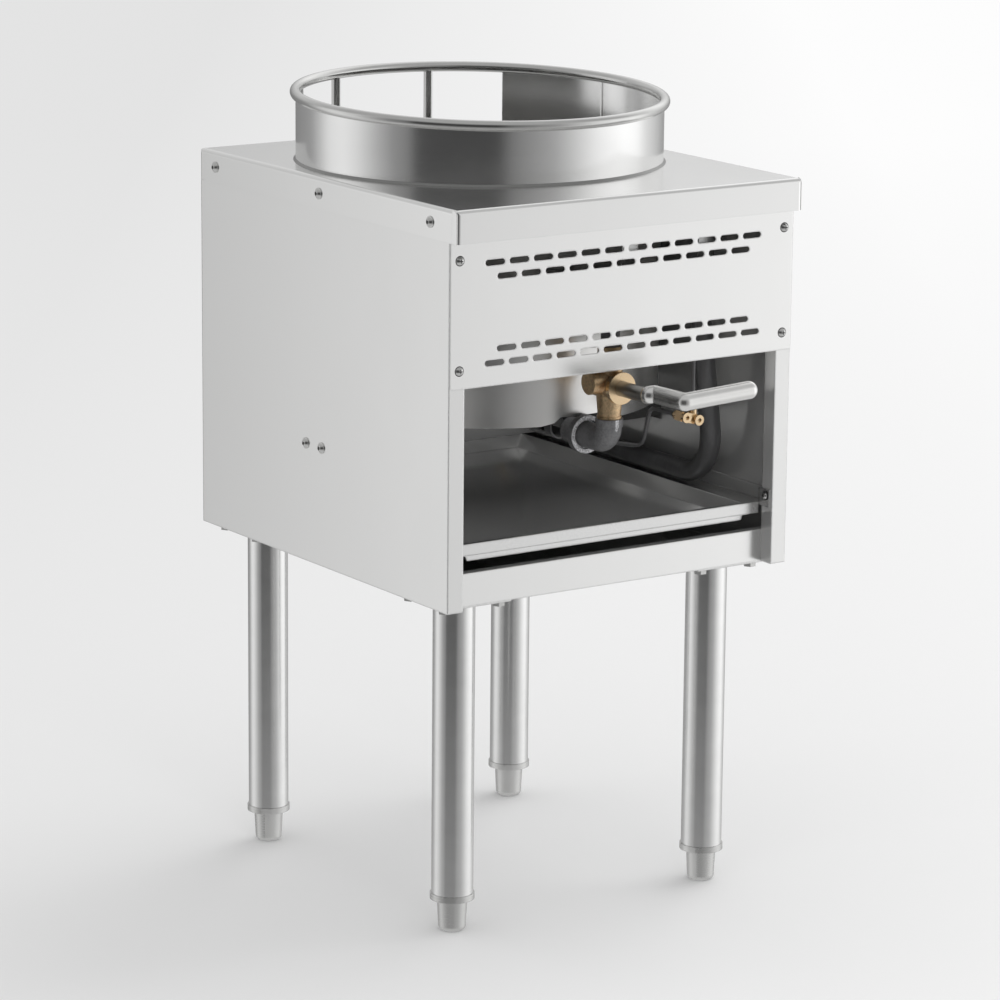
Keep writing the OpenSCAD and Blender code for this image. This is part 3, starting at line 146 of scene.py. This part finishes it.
# Right tray runner's front end: front, rear, low and high edge of its upright leg, and its screw's place
RUNNER_LEG = (-0.2122, -0.1930, 0.4500, 0.4705)
RUNNER_SHEET = 0.0010
RUNNER_SCREW = (-0.2060, 0.4625)
RUNNER_WASHER_RADIUS = 0.0052
RUNNER_HEAD_RADIUS = 0.0040
RUNNER_HEAD_HEIGHT = 0.0030
RUNNER_DRIVE_RADIUS = 0.0018
WASHER_THICKNESS = 0.0008

# Flat front ends of the cover's side flanges: name, side, distance behind the cover's front, thickness
FLANGE_END_LENGTH = 0.009
FLANGE_END_CORNER = 0.006
FLANGE_END_DROP = 0.0012
CORNER_STEPS = 6
FLANGE_ENDS = (
    ("cover_flange_end_left", -1, 0.0, 0.0013),
    ("cover_flange_end_right", 1, 0.0022, 0.0006),
)


class Finish:
    """A node material while it is being built."""

    def __init__(self, name, colour, metallic, roughness):
        self.material = bpy.data.materials.new(name)
        self.material.use_nodes = True
        self.tree = self.material.node_tree
        self.shader = self.tree.nodes["Principled BSDF"]
        self.shader.inputs["Base Color"].default_value = (*colour, 1)
        self.shader.inputs["Metallic"].default_value = metallic
        self.shader.inputs["Roughness"].default_value = roughness
        self.place = self.add("ShaderNodeTexCoord").outputs["Object"]
        self.normal = None

    def add(self, kind, **inputs):
        made = self.tree.nodes.new(kind)
        for name, value in inputs.items():
            made.inputs[name].default_value = value
        return made

    def feed(self, socket, value):
        """Give a socket the output of another node, or a constant."""
        if isinstance(value, bpy.types.NodeSocket):
            self.tree.links.new(value, socket)
        else:
            socket.default_value = value

    def noise(self, cells, detail=3.0, rough=0.55):
        """Noise with its own scale, in cells per metre, along X, Y and Z."""
        mapping = self.add("ShaderNodeMapping", Scale=cells)
        self.feed(mapping.inputs["Vector"], self.place)
        made = self.add("ShaderNodeTexNoise", Scale=1.0, Detail=detail, Roughness=rough)
        self.feed(made.inputs["Vector"], mapping.outputs["Vector"])
        return made.outputs["Fac"]

    def ranged(self, value, low, high, from_low=0.3, from_high=0.7):
        """The value, taken from one range to another and held within it."""
        made = self.add("ShaderNodeMapRange")
        made.inputs["From Min"].default_value = from_low
        made.inputs["From Max"].default_value = from_high
        made.inputs["To Min"].default_value = low
        made.inputs["To Max"].default_value = high
        self.feed(made.inputs["Value"], value)
        return made.outputs["Result"]

    def maths(self, operation, first, second):
        made = self.add("ShaderNodeMath")
        made.operation = operation
        self.feed(made.inputs[0], first)
        self.feed(made.inputs[1], second)
        return made.outputs["Value"]

    def total(self, first, *others):
        for value in others:
            first = self.maths("ADD", first, value)
        return first

    def vectors(self, operation, output, first, second):
        made = self.add("ShaderNodeVectorMath")
        made.operation = operation
        self.feed(made.inputs[0], first)
        self.feed(made.inputs[1], second)
        return made.outputs[output]

    def mixed(self, factor, first, second):
        made = self.add("ShaderNodeMix")
        made.data_type = "RGBA"
        self.feed(made.inputs["Factor"], factor)
        for name, value in (("A", first), ("B", second)):
            self.feed(made.inputs[name], (*value, 1) if isinstance(value, tuple) else value)
        return made.outputs["Result"]

    def covered(self, shade, mask, share, colour):
        """The shade, with a colour laid over it by the given share where the mask is 1."""
        return self.mixed(self.maths("MULTIPLY", mask, share), shade, colour)

    def soft_edges(self, radius=EDGE_RADIUS):
        bevel = self.add("ShaderNodeBevel", Radius=radius)
        bevel.samples = 4
        self.set_normal(bevel.outputs["Normal"])

    def bump(self, height, distance, strength=1.0):
        made = self.add("ShaderNodeBump", Strength=strength, Distance=distance)
        self.feed(made.inputs["Height"], height)
        self.feed(made.inputs["Normal"], self.normal)
        self.set_normal(made.outputs["Normal"])

    def edge_mask(self):
        """1 on the bare edges of a piece, 0 on its faces, by how far the soft edge turns them."""
        flat = self.add("ShaderNodeNewGeometry").outputs["Normal"]
        turned, straight = 0.75, 0.98
        likeness = self.vectors("DOT_PRODUCT", "Value", self.normal, flat)
        return self.ranged(likeness, 1.0, 0.0, turned, straight)

    def inner_mask(self):
        """1 on faces that look towards the middle of the object, 0 on its outer faces."""
        middle = (CAD_BOX[0] + CAD_BOX[1]) / 2
        offset = self.vectors("SUBTRACT", "Vector", self.place, middle)
        flat = self.add("ShaderNodeNewGeometry").outputs["True Normal"]
        outward = self.vectors("DOT_PRODUCT", "Value", offset, flat)
        return self.ranged(outward, 1.0, 0.0, -0.02, 0.0)

    def front_mask(self):
        """1 on flat faces that look to the front, 0 elsewhere."""
        flat = self.add("ShaderNodeNewGeometry").outputs["True Normal"]
        forward = self.vectors("DOT_PRODUCT", "Value", flat, (0, -1, 0))
        return self.ranged(forward, 0.0, 1.0, 0.985, 0.995)

    def plane_distance(self, direction, centre):
        """Signed distance of a surface point from the upright plane through the centre."""
        along = self.vectors("DOT_PRODUCT", "Value", self.place, direction)
        return self.maths("SUBTRACT", along, float(direction.dot(centre)))

    def set_normal(self, value):
        self.normal = value
        self.feed(self.shader.inputs["Normal"], value)

    def set_colour(self, value):
        self.feed(self.shader.inputs["Base Color"], value)

    def set_roughness(self, value):
        self.feed(self.shader.inputs["Roughness"], value)

    def brushed_round(self, axis, amount):
        tangent = self.add("ShaderNodeTangent")
        tangent.direction_type = "RADIAL"
        tangent.axis = axis
        self.feed(self.shader.inputs["Tangent"], tangent.outputs["Tangent"])
        self.shader.inputs["Anisotropic"].default_value = amount


def tinted(colour, share):
    return tuple(min(1.0, c * share) for c in colour)


def even(cells):
    return (cells, cells, cells)


def brushed_steel(name, colour, roughness, grain, fold=FOLD_RADIUS, inner=0.8):
    """Satin stainless sheet: fine brush lines, faint handling marks, plainer inside, and painted shade on
    the inner faces.
    """
    f = Finish(name, colour, 1.0, roughness)
    f.soft_edges(fold)
    edges = f.edge_mask()
    inside = f.inner_mask()
    lines = f.noise(grain, detail=3.0, rough=0.6)
    clouds = f.noise(even(4.0), detail=2.0)
    smears = f.noise((19.0, 19.0, 8.0), detail=4.0, rough=0.6)
    shade = f.mixed(f.ranged(lines, 0.0, 1.0), tinted(colour, 0.992), tinted(colour, 1.006))
    shade = f.mixed(f.ranged(clouds, 0.0, 0.3), shade, tinted(colour, 0.96))
    shade = f.covered(shade, edges, 0.35, tinted(colour, 1.08))
    # Painted shade: the inner faces take the colour darkened by the share inner, for the shade inside the
    # body
    f.set_colour(f.mixed(inside, shade, tinted(colour, inner)))
    f.feed(f.shader.inputs["Metallic"], f.ranged(inside, 1.0, INNER_METAL_SHARE, 0.0, 1.0))
    f.set_roughness(f.total(
        f.ranged(lines, -0.015, 0.015),
        f.ranged(smears, -0.01, 0.02),
        f.maths("MULTIPLY", inside, -0.10),
        f.maths("MULTIPLY", edges, -0.12),
        roughness,
    ))
    f.bump(lines, 0.000001)
    return f.material


def ring_steel(name, colour, roughness, seam_azimuth, centre):
    """Rolled ring: brushed round its axis, with one welded seam."""
    f = Finish(name, colour, 1.0, roughness)
    f.soft_edges()
    edges = f.edge_mask()
    lines = f.noise((9.0, 9.0, 1600.0), detail=4.0, rough=0.7)
    clouds = f.noise((11.0, 11.0, 16.0), detail=3.0)
    turn = math.radians(seam_azimuth)
    across = Vector((-math.sin(turn), math.cos(turn), 0))
    along = Vector((math.cos(turn), math.sin(turn), 0))
    distance = f.maths("ABSOLUTE", f.plane_distance(across, centre), 0.0)
    seam_side = f.maths("GREATER_THAN", f.plane_distance(along, centre), 0.0)
    seam = f.maths("MULTIPLY", f.ranged(distance, 1.0, 0.0, *SEAM_FADE), seam_side)
    shade = f.mixed(f.ranged(clouds, 0.0, 1.0), tinted(colour, 0.97), tinted(colour, 1.02))
    shade = f.covered(shade, edges, 0.5, tinted(colour, 1.25))
    f.set_colour(f.covered(shade, seam, 0.6, tinted(colour, 0.7)))
    f.set_roughness(f.total(f.ranged(lines, -0.03, 0.03), f.ranged(clouds, -0.015, 0.02), roughness))
    f.bump(lines, 0.000006)
    f.bump(seam, 0.0003, 0.6)
    f.brushed_round("Z", 0.4)
    return f.material


def smooth_metal(name, colour, roughness, edge=TURNED_EDGE):
    """Turned or drawn metal: light handling marks and soft edges."""
    f = Finish(name, colour, 1.0, roughness)
    f.soft_edges(edge)
    edges = f.edge_mask()
    clouds = f.noise(even(40.0), detail=5.0, rough=0.65)
    fine = f.noise(even(900.0), detail=3.0)
    shade = f.mixed(f.ranged(clouds, 0.0, 1.0), tinted(colour, 0.96), tinted(colour, 1.02))
    f.set_colour(f.covered(shade, edges, 0.4, tinted(colour, 1.2)))
    f.set_roughness(f.total(f.ranged(clouds, -0.02, 0.02), roughness))
    f.bump(fine, 0.000004)
    return f.material


def cast_metal(name, colour, metallic, roughness, grain, depth, dusty, painted_front_light=0.0):
    """Sand cast metal: grainy skin, dull hollows, rubbed high spots, painted light on front faces."""
    f = Finish(name, colour, metallic, roughness)
    f.soft_edges(CAST_EDGE)
    edges = f.edge_mask()
    skin = f.noise(even(grain), detail=6.0, rough=0.7)
    lumps = f.noise(even(grain / 4), detail=3.0)
    shade = f.mixed(f.ranged(skin, 0.0, 1.0), tinted(colour, 0.6), tinted(colour, 1.25))
    shade = f.mixed(f.ranged(lumps, 0.0, dusty), shade, tinted(colour, 1.8))
    shade = f.covered(shade, edges, 0.4, tinted(colour, 1.6))
    # Painted light: faces that look to the front are lightened, speckled by the skin
    if painted_front_light:
        front_light_speckle = f.maths("MULTIPLY", f.front_mask(), f.ranged(skin, 0.25, 1.0, 0.42, 0.58))
        shade = f.covered(shade, front_light_speckle, painted_front_light, tinted(colour, 5.0))
    f.set_colour(shade)
    f.set_roughness(f.total(f.ranged(skin, -0.12, 0.14), roughness))
    f.bump(skin, depth)
    f.bump(lumps, depth * 2)
    return f.material


def coated_tube(name, colour, roughness):
    """Black coated tube with a satin sheen and faint scuffs."""
    f = Finish(name, colour, 0.0, roughness)
    f.soft_edges()
    scuffs = f.noise((60.0, 60.0, 15.0), detail=6.0, rough=0.7)
    skin = f.noise(even(1200.0), detail=2.0)
    worn = f.ranged(scuffs, 0.0, 0.6, 0.5, 0.75)
    f.set_colour(f.mixed(worn, tinted(colour, 0.9), tinted(colour, 2.2)))
    f.set_roughness(f.total(f.ranged(scuffs, -0.05, 0.12), roughness))
    f.bump(skin, 0.00002)
    f.shader.inputs["Specular IOR Level"].default_value = 1.0
    return f.material


def give(material, *names):
    for name in names:
        slots = NODES[name].data.materials
        slots.clear()
        slots.append(material)


def ring_centre():
    low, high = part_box("wok_ring_rim")
    middle = (low + high) / 2
    return Vector((middle.x, middle.y, 0))


def dress_body():
    sides = brushed_steel("satin_side_sheet", SHEET_COLOUR, 0.24, LEVEL_GRAIN)
    give(sides, "left_side_panel", "right_side_panel", "upper_front_rail", "manifold_hangers",
         "tray_runner_left", "tray_runner_right", "base_panel", "base_channel_left",
         "base_channel_right", "leg_plates")
    cover = brushed_steel("satin_cover_sheet", SHEET_COLOUR, 0.19, (5.0, 1500.0, 1500.0),
                          fold=EDGE_RADIUS / 2)
    give(cover, "top_cover")
    # Painted shade: the back panel's inner faces are painted far darker, for the shade behind the chamber
    back = brushed_steel("back_sheet_painted_shade_inside", SHEET_COLOUR, 0.24, LEVEL_GRAIN, inner=0.25)
    give(back, "back_panel")
    # Painted shade: the cross bar is painted near black, for the shade below the chamber
    bar = brushed_steel("cross_bar_painted_shade", (0.16, 0.16, 0.158), 0.34, (6.0, 6.0, 900.0),
                        fold=EDGE_RADIUS, inner=1.0)
    give(bar, "burner_cross_bar")
    front = brushed_steel("satin_front_sheet", (0.96, 0.96, 0.952), 0.23, LEVEL_GRAIN)
    give(front, "front_vent_panel", "lower_front_rail")
    tray = brushed_steel("tray_sheet", (0.86, 0.86, 0.855), 0.26, (1400.0, 6.0, 1400.0), inner=1.0)
    give(tray, "drip_tray")


def dress_ring():
    centre = ring_centre()
    band = ring_steel("rolled_ring_band", (0.82, 0.82, 0.815), 0.17, RING_SEAM, centre)
    give(band, "wok_ring_band")
    tube = smooth_metal("ring_tube", PLAIN_COLOUR, 0.16)
    give(tube, "wok_ring_rim", "ring_posts")
    bead = smooth_metal("weld_bead", (0.34, 0.34, 0.335), 0.35)
    give(bead, "ring_weld_bead")
    wall = ring_steel("chamber_wall", (0.86, 0.855, 0.84), 0.3, CHAMBER_SEAM, centre)
    give(wall, "combustion_chamber")


def dress_legs():
    legs = smooth_metal("leg_tube", (0.82, 0.82, 0.815), 0.2)
    give(legs, "leg_front_left", "leg_front_right", "leg_rear_left", "leg_rear_right")
    feet = brushed_steel("satin_foot", PLAIN_COLOUR, 0.26, (8.0, 8.0, 1200.0),
                         fold=EDGE_RADIUS, inner=1.0)
    give(feet, "foot_front_left", "foot_front_right", "foot_rear_left", "foot_rear_right",
         "leg_collars")


def dress_fittings():
    fasteners = smooth_metal("fastener_metal", PLAIN_COLOUR, 0.2, edge=SCREW_EDGE)
    give(fasteners, "chamber_studs", "leg_bolts", "leg_nuts", "panel_screws", "vent_panel_screws",
         "pilot_burner")
    grip = smooth_metal("grip_metal", (0.90, 0.895, 0.88), 0.22)
    give(grip, "knee_handle", "handle_hub")
    # Painted shade: the stem is painted far darker than the grip, for the dark body it reflects
    stem = smooth_metal("stem_metal_painted_shade", (0.42, 0.41, 0.39), 0.32)
    give(stem, "valve_stem")
    valve = cast_metal("cast_brass", (0.70, 0.49, 0.30), 1.0, 0.42, grain=420.0, depth=0.0002, dusty=0.25)
    give(valve, "gas_valve_body")
    brass = smooth_metal("turned_brass", (0.87, 0.66, 0.42), 0.26)
    give(brass, "valve_cap", "gas_orifice", "gas_inlet", "pilot_valve_body", "pilot_screw_left",
         "pilot_screw_right")
    iron = cast_metal("black_malleable_iron", (0.13, 0.13, 0.133), 0.3, 0.45, grain=500.0,
                      depth=0.0003, dusty=0.3, painted_front_light=0.9)
    give(iron, "feed_elbow", "orifice_holder")
    tubes = coated_tube("black_coated_tube", (0.06, 0.06, 0.062), 0.34)
    give(tubes, "supply_tube", "feed_nipple", "valve_riser", "gas_manifold", "pilot_feed_tube",
         "pilot_tube", "burner_mixing_tube")
    burner = cast_metal("cast_burner_iron", (0.10, 0.10, 0.105), 0.5, 0.6, grain=380.0,
                        depth=0.0004, dusty=0.3)
    give(burner, "burner_head")


def extreme(points, pick):
    return Vector([pick(point[i] for point in points) for i in range(3)])


def separate_boxes(name):
    """Lowest and highest corner of each separate solid in a node."""
    mesh = NODES[name].data
    spots = {}
    index = [spots.setdefault(tuple(round(c, 5) for c in v.co), len(spots)) for v in mesh.vertices]
    parent = list(range(len(spots)))

    def root(spot):
        while parent[spot] != spot:
            spot = parent[spot]
        return spot

    for face in mesh.polygons:
        first = root(index[face.vertices[0]])
        for vertex in face.vertices[1:]:
            parent[root(index[vertex])] = first
    groups = {}
    for vertex in mesh.vertices:
        groups.setdefault(root(index[vertex.index]), []).append(vertex.co)
    return [(extreme(group, min), extreme(group, max)) for group in groups.values()]


def facing(place, direction):
    """Where a piece stands whose own +Z looks in a direction."""
    return Matrix.Translation(place) @ direction.to_track_quat("Z", "Y").to_matrix().to_4x4()


def on_side(x):
    """Where a piece stands whose outline is in Y and Z, and whose height runs along +X from x."""
    return Matrix(((0, 0, 1, x), (1, 0, 0, 0), (0, 1, 0, 0), (0, 0, 0, 1)))


def add_piece(mesh, stand, material):
    """Put a mesh on the body as a piece of the same name."""
    piece = bpy.data.objects.new(mesh.name, mesh)
    bpy.context.scene.collection.objects.link(piece)
    piece.matrix_world = stand
    mesh.materials.append(material)
    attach(piece, "range_body")


def round_outline(radius):
    turns = [2 * math.pi * i / ROUND_SIDES for i in range(ROUND_SIDES)]
    return [(radius * math.cos(turn), radius * math.sin(turn)) for turn in turns]


def cross_outline(reach, arm):
    a = arm / 2
    quarter = [(reach, -a), (reach, a), (a, a)]
    return [
        (x * math.cos(turn) - y * math.sin(turn), x * math.sin(turn) + y * math.cos(turn))
        for turn in (0, math.pi / 2, math.pi, 1.5 * math.pi)
        for x, y in quarter
    ]


def prism(name, outline, height, hole=()):
    """Upright prism on an outline round the origin, with an outline of the same length cut out."""
    mesh = bpy.data.meshes.new(name)
    made = bmesh.new()
    lower = [made.verts.new((x, y, 0)) for x, y in outline]
    upper = [made.verts.new((x, y, height)) for x, y in outline]
    count = len(outline)
    if hole:
        inner_lower = [made.verts.new((x, y, 0)) for x, y in hole]
        inner_upper = [made.verts.new((x, y, height)) for x, y in hole]
    for i in range(count):
        j = (i + 1) % count
        made.faces.new((lower[i], lower[j], upper[j], upper[i]))
        if hole:
            made.faces.new((inner_lower[j], inner_lower[i], inner_upper[i], inner_upper[j]))
            made.faces.new((upper[i], upper[j], inner_upper[j], inner_upper[i]))
            made.faces.new((lower[j], lower[i], inner_lower[i], inner_lower[j]))
    if not hole:
        made.faces.new(upper)
        made.faces.new(lower[::-1])
    made.to_mesh(mesh)
    made.free()
    return mesh


def dome(name, radius, height, rings=6):
    """Flat-bottomed round screw head."""
    mesh = bpy.data.meshes.new(name)
    made = bmesh.new()
    levels = [
        [made.verts.new((x, y, height * math.sin(0.5 * math.pi * step / rings)))
         for x, y in round_outline(radius * math.cos(0.5 * math.pi * step / rings))]
        for step in range(rings)
    ]
    for lower, upper in zip(levels, levels[1:]):
        for i in range(ROUND_SIDES):
            j = (i + 1) % ROUND_SIDES
            made.faces.new((lower[i], lower[j], upper[j], upper[i])).smooth = True
    made.faces.new(levels[-1]).smooth = True
    made.faces.new(levels[0][::-1])
    made.to_mesh(mesh)
    made.free()
    return mesh


def screw_heads():
    """Top of each visible screw head, the way it looks, and the outline of its drive recess."""
    for low, high in separate_boxes("panel_screws"):
        middle = (low + high) / 2
        outside = high.x - low.x > SCREW_OUTER_LENGTH
        side = math.copysign(1.0, middle.x) * (1 if outside else -1)
        tip = high.x if side > 0 else low.x
        yield Vector((tip, middle.y, middle.z)), Vector((side, 0, 0)), round_outline(DRIVE_RADIUS)
    for low, high in separate_boxes("vent_panel_screws"):
        middle = (low + high) / 2
        cross = cross_outline(DRIVE_RADIUS, CROSS_ARM)
        yield Vector((middle.x, low.y, middle.z)), Vector((0, -1, 0)), cross


def add_screw_details():
    """Painted shade: a dark floor in each drive recess, and a dark line round each head as a painted
    shadow.
    """
    dark = cast_metal("recess_shadow", (0.035, 0.035, 0.035), 0.4, 0.6, grain=900.0,
                      depth=0.00002, dusty=0.2)
    line_outer = round_outline(HEAD_RADIUS + SHADOW_LINE)
    line_inner = round_outline(HEAD_RADIUS - SHADOW_LINE)
    for number, (tip, way, drive) in enumerate(screw_heads()):
        floor = prism(f"drive_floor_shade_{number}", drive, DETAIL_THICKNESS)
        add_piece(floor, facing(tip - way * DRIVE_DEPTH, way), dark)
        line = prism(f"head_shadow_line_{number}", line_outer, DETAIL_THICKNESS, line_inner)
        add_piece(line, facing(tip - way * HEAD_HEIGHT, way), dark)


def add_runner_front():
    """Front end of the right tray runner: an upright leg on the stile with its screw."""
    sheet = bpy.data.materials["satin_side_sheet"]
    metal = bpy.data.materials["fastener_metal"]
    dark = bpy.data.materials["recess_shadow"]
    inward = Vector((-1, 0, 0))
    front, rear, low, high = RUNNER_LEG
    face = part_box("right_side_panel")[0].x - RUNNER_SHEET - SMALL_GAP
    corners = [(front, low), (rear, low), (rear, high), (front, high)]
    leg = prism("runner_front_leg", corners, RUNNER_SHEET)
    add_piece(leg, on_side(face), sheet)
    place = Vector((face, *RUNNER_SCREW))
    # Painted shade: the washer and the cross recess take the dark shadow material, round and in the head
    washer = prism("runner_front_washer", round_outline(RUNNER_WASHER_RADIUS), WASHER_THICKNESS)
    add_piece(washer, facing(place, inward), dark)
    place += inward * WASHER_THICKNESS
    head = dome("runner_front_screw", RUNNER_HEAD_RADIUS, RUNNER_HEAD_HEIGHT)
    add_piece(head, facing(place, inward), metal)
    place += inward * RUNNER_HEAD_HEIGHT
    recess = prism("runner_front_recess", cross_outline(RUNNER_DRIVE_RADIUS, CROSS_ARM), DETAIL_THICKNESS)
    add_piece(recess, facing(place, inward), dark)


def add_cover_flange_ends():
    """Flat front ends of the cover's side flanges, which close its round corners from the side."""
    cover = bpy.data.materials["satin_cover_sheet"]
    low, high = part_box("top_cover")
    bend = FLANGE_END_CORNER
    turns = [0.5 * math.pi * i / CORNER_STEPS for i in range(CORNER_STEPS + 1)]
    arc = [(bend * (1 - math.cos(turn)), high.z - bend * (1 - math.sin(turn))) for turn in turns]
    for name, side, recess, thickness in FLANGE_ENDS:
        front = low.y + recess
        rear = low.y + FLANGE_END_LENGTH
        outline = [(front + back, up) for back, up in arc]
        outline += [(rear, high.z - FLANGE_END_DROP), (rear, low.z), (front, low.z)]
        start = high.x + SMALL_GAP - thickness if side > 0 else low.x - SMALL_GAP
        add_piece(prism(name, outline[::-1], thickness), on_side(start), cover)


def make_camera():
    data = bpy.data.cameras.new("photo_camera")
    data.lens = CAMERA_LENS
    data.sensor_width = SENSOR_WIDTH
    data.clip_end = CAMERA_REACH
    camera = bpy.data.objects.new("photo_camera", data)
    bpy.context.scene.collection.objects.link(camera)
    ahead = Vector((
        math.sin(CAMERA_YAW) * math.cos(CAMERA_PITCH),
        math.cos(CAMERA_YAW) * math.cos(CAMERA_PITCH),
        -math.sin(CAMERA_PITCH),
    ))
    right = Vector((math.cos(CAMERA_YAW), -math.sin(CAMERA_YAW), 0))
    up = right.cross(ahead)
    turned_right = math.cos(CAMERA_ROLL) * right + math.sin(CAMERA_ROLL) * up
    turned_up = math.cos(CAMERA_ROLL) * up - math.sin(CAMERA_ROLL) * right
    axes = Matrix((turned_right, turned_up, -ahead)).transposed()
    camera.matrix_world = Matrix.Translation(CAMERA_PLACE) @ axes.to_4x4()
    bpy.context.scene.camera = camera


def grey(level):
    return (level, level, level)


def make_floor():
    """Pale paper with painted light to the right and far away; reflections leave it to the studio walls.
    """
    bpy.ops.mesh.primitive_plane_add(size=PAPER_SIZE)
    floor = bpy.context.object
    floor.name = "studio_floor"
    f = Finish("studio_paper", grey(0.85), 0.0, 0.9)
    f.shader.inputs["Specular IOR Level"].default_value = 0.0
    right = Vector((math.cos(CAMERA_YAW), -math.sin(CAMERA_YAW), 0))
    ahead = Vector((math.sin(CAMERA_YAW), math.cos(CAMERA_YAW), 0))
    side = f.ranged(f.plane_distance(right, Vector()), 0.0, 1.0, *PAPER_ACROSS)
    far = f.ranged(f.plane_distance(ahead, Vector()), 0.0, 1.0, *PAPER_AWAY)
    near_shade = f.mixed(side, *[grey(level) for level in PAPER_NEAR])
    far_shade = f.mixed(side, *[grey(level) for level in PAPER_FAR])
    f.set_colour(f.mixed(far, near_shade, far_shade))
    floor.data.materials.append(f.material)
    floor.visible_glossy = False


def make_world():
    world = bpy.data.worlds.new("studio_world")
    world.use_nodes = True
    bpy.context.scene.world = world
    world.node_tree.nodes["Background"].inputs["Color"].default_value = (1, 1, 1, 1)
    world.node_tree.nodes["Background"].inputs["Strength"].default_value = WORLD_LEVEL


def glow(level):
    """Grey that the wall's emission strength brings to a level."""
    return grey(level / WALL_TOP_LEVEL)


def panel_light(f, right, away):
    """Brightness of the upright panels, by the angle round the wall."""
    azimuth = f.maths("ARCTAN2", right, f.maths("MULTIPLY", away, -1.0))
    ramp = f.add("ShaderNodeValToRGB")
    f.feed(ramp.inputs["Fac"], f.ranged(azimuth, 0.0, 1.0, -math.pi, math.pi))
    stops = ramp.color_ramp.elements
    while len(stops) < len(WALL_PANELS):
        stops.new(0.5)
    for stop, (angle, level) in zip(stops, WALL_PANELS):
        stop.position = angle / 360 + 0.5
        stop.color = (*glow(level), 1)
    return ramp.outputs["Color"]


def wall_light(f):
    """Panels all round, a ceiling that is brighter on the far side, and a floor."""
    split = f.add("ShaderNodeSeparateXYZ")
    f.feed(split.inputs["Vector"], f.place)
    right, away, up = split.outputs["X"], split.outputs["Y"], split.outputs["Z"]

    def over(value, low, high, share):
        return f.ranged(value, low, high, share[0] * WALL_RADIUS, share[1] * WALL_RADIUS)

    panels = panel_light(f, right, away)
    height = f.maths("DIVIDE", up, WALL_RADIUS)
    lifted = f.total(height, over(away, 0.0, CEILING_DROP, CEILING_DROP_DEPTH))
    ceiling = f.ranged(lifted, 0.0, 1.0, *CEILING_RISE)
    to_right = over(right, 0.0, 1.0, REAR_WIDTH)
    rear = f.mixed(to_right, glow(REAR_LEFT_LEVEL), glow(REAR_RIGHT_LEVEL))
    overhead = f.mixed(over(away, 0.0, 1.0, REAR_DEPTH), glow(CEILING_LEVEL), rear)
    floor = f.ranged(height, 1.0, 0.0, *FLOOR_RISE)
    return f.mixed(floor, f.mixed(ceiling, panels, overhead), glow(FLOOR_LEVEL))


def make_walls():
    """Round studio wall that only reflections see."""
    bpy.ops.mesh.primitive_uv_sphere_add(segments=96, ring_count=48, radius=WALL_RADIUS)
    wall = bpy.context.object
    wall.name = "studio_walls"
    wall.rotation_euler = (0, 0, -CAMERA_YAW)
    wall.location = (0, 0, WALL_MIDDLE_HEIGHT)
    f = Finish("studio_wall_light", grey(0), 0.0, 1.0)
    f.shader.inputs["Specular IOR Level"].default_value = 0.0
    f.feed(f.shader.inputs["Emission Color"], wall_light(f))
    f.shader.inputs["Emission Strength"].default_value = WALL_TOP_LEVEL
    wall.data.materials.append(f.material)
    wall.visible_camera = False
    wall.visible_diffuse = False
    wall.visible_shadow = False
    wall.visible_transmission = False


def add_lamp(name, kind, energy, towards):
    data = bpy.data.lights.new(name, kind)
    data.energy = energy
    lamp = bpy.data.objects.new(name, data)
    bpy.context.scene.collection.objects.link(lamp)
    lamp.rotation_euler = towards.to_track_quat("-Z", "Y").to_euler()
    lamp.visible_glossy = False
    return lamp


def make_lamps():
    window = add_lamp("window_light", "SUN", WINDOW_LEVEL, Vector(WINDOW_DIRECTION))
    window.data.angle = math.radians(WINDOW_ANGLE)
    fill = add_lamp("front_fill", "AREA", FILL_WATTS, Vector(FILL_AIM) - Vector(FILL_PLACE))
    fill.location = FILL_PLACE
    fill.data.shape = "RECTANGLE"
    fill.data.size, fill.data.size_y = FILL_SIZE


dress_body()
dress_ring()
dress_legs()
dress_fittings()
add_screw_details()
add_runner_front()
add_cover_flange_ends()
make_camera()
make_floor()
make_world()
make_walls()
make_lamps()
bpy.context.scene.view_settings.view_transform = "Standard"
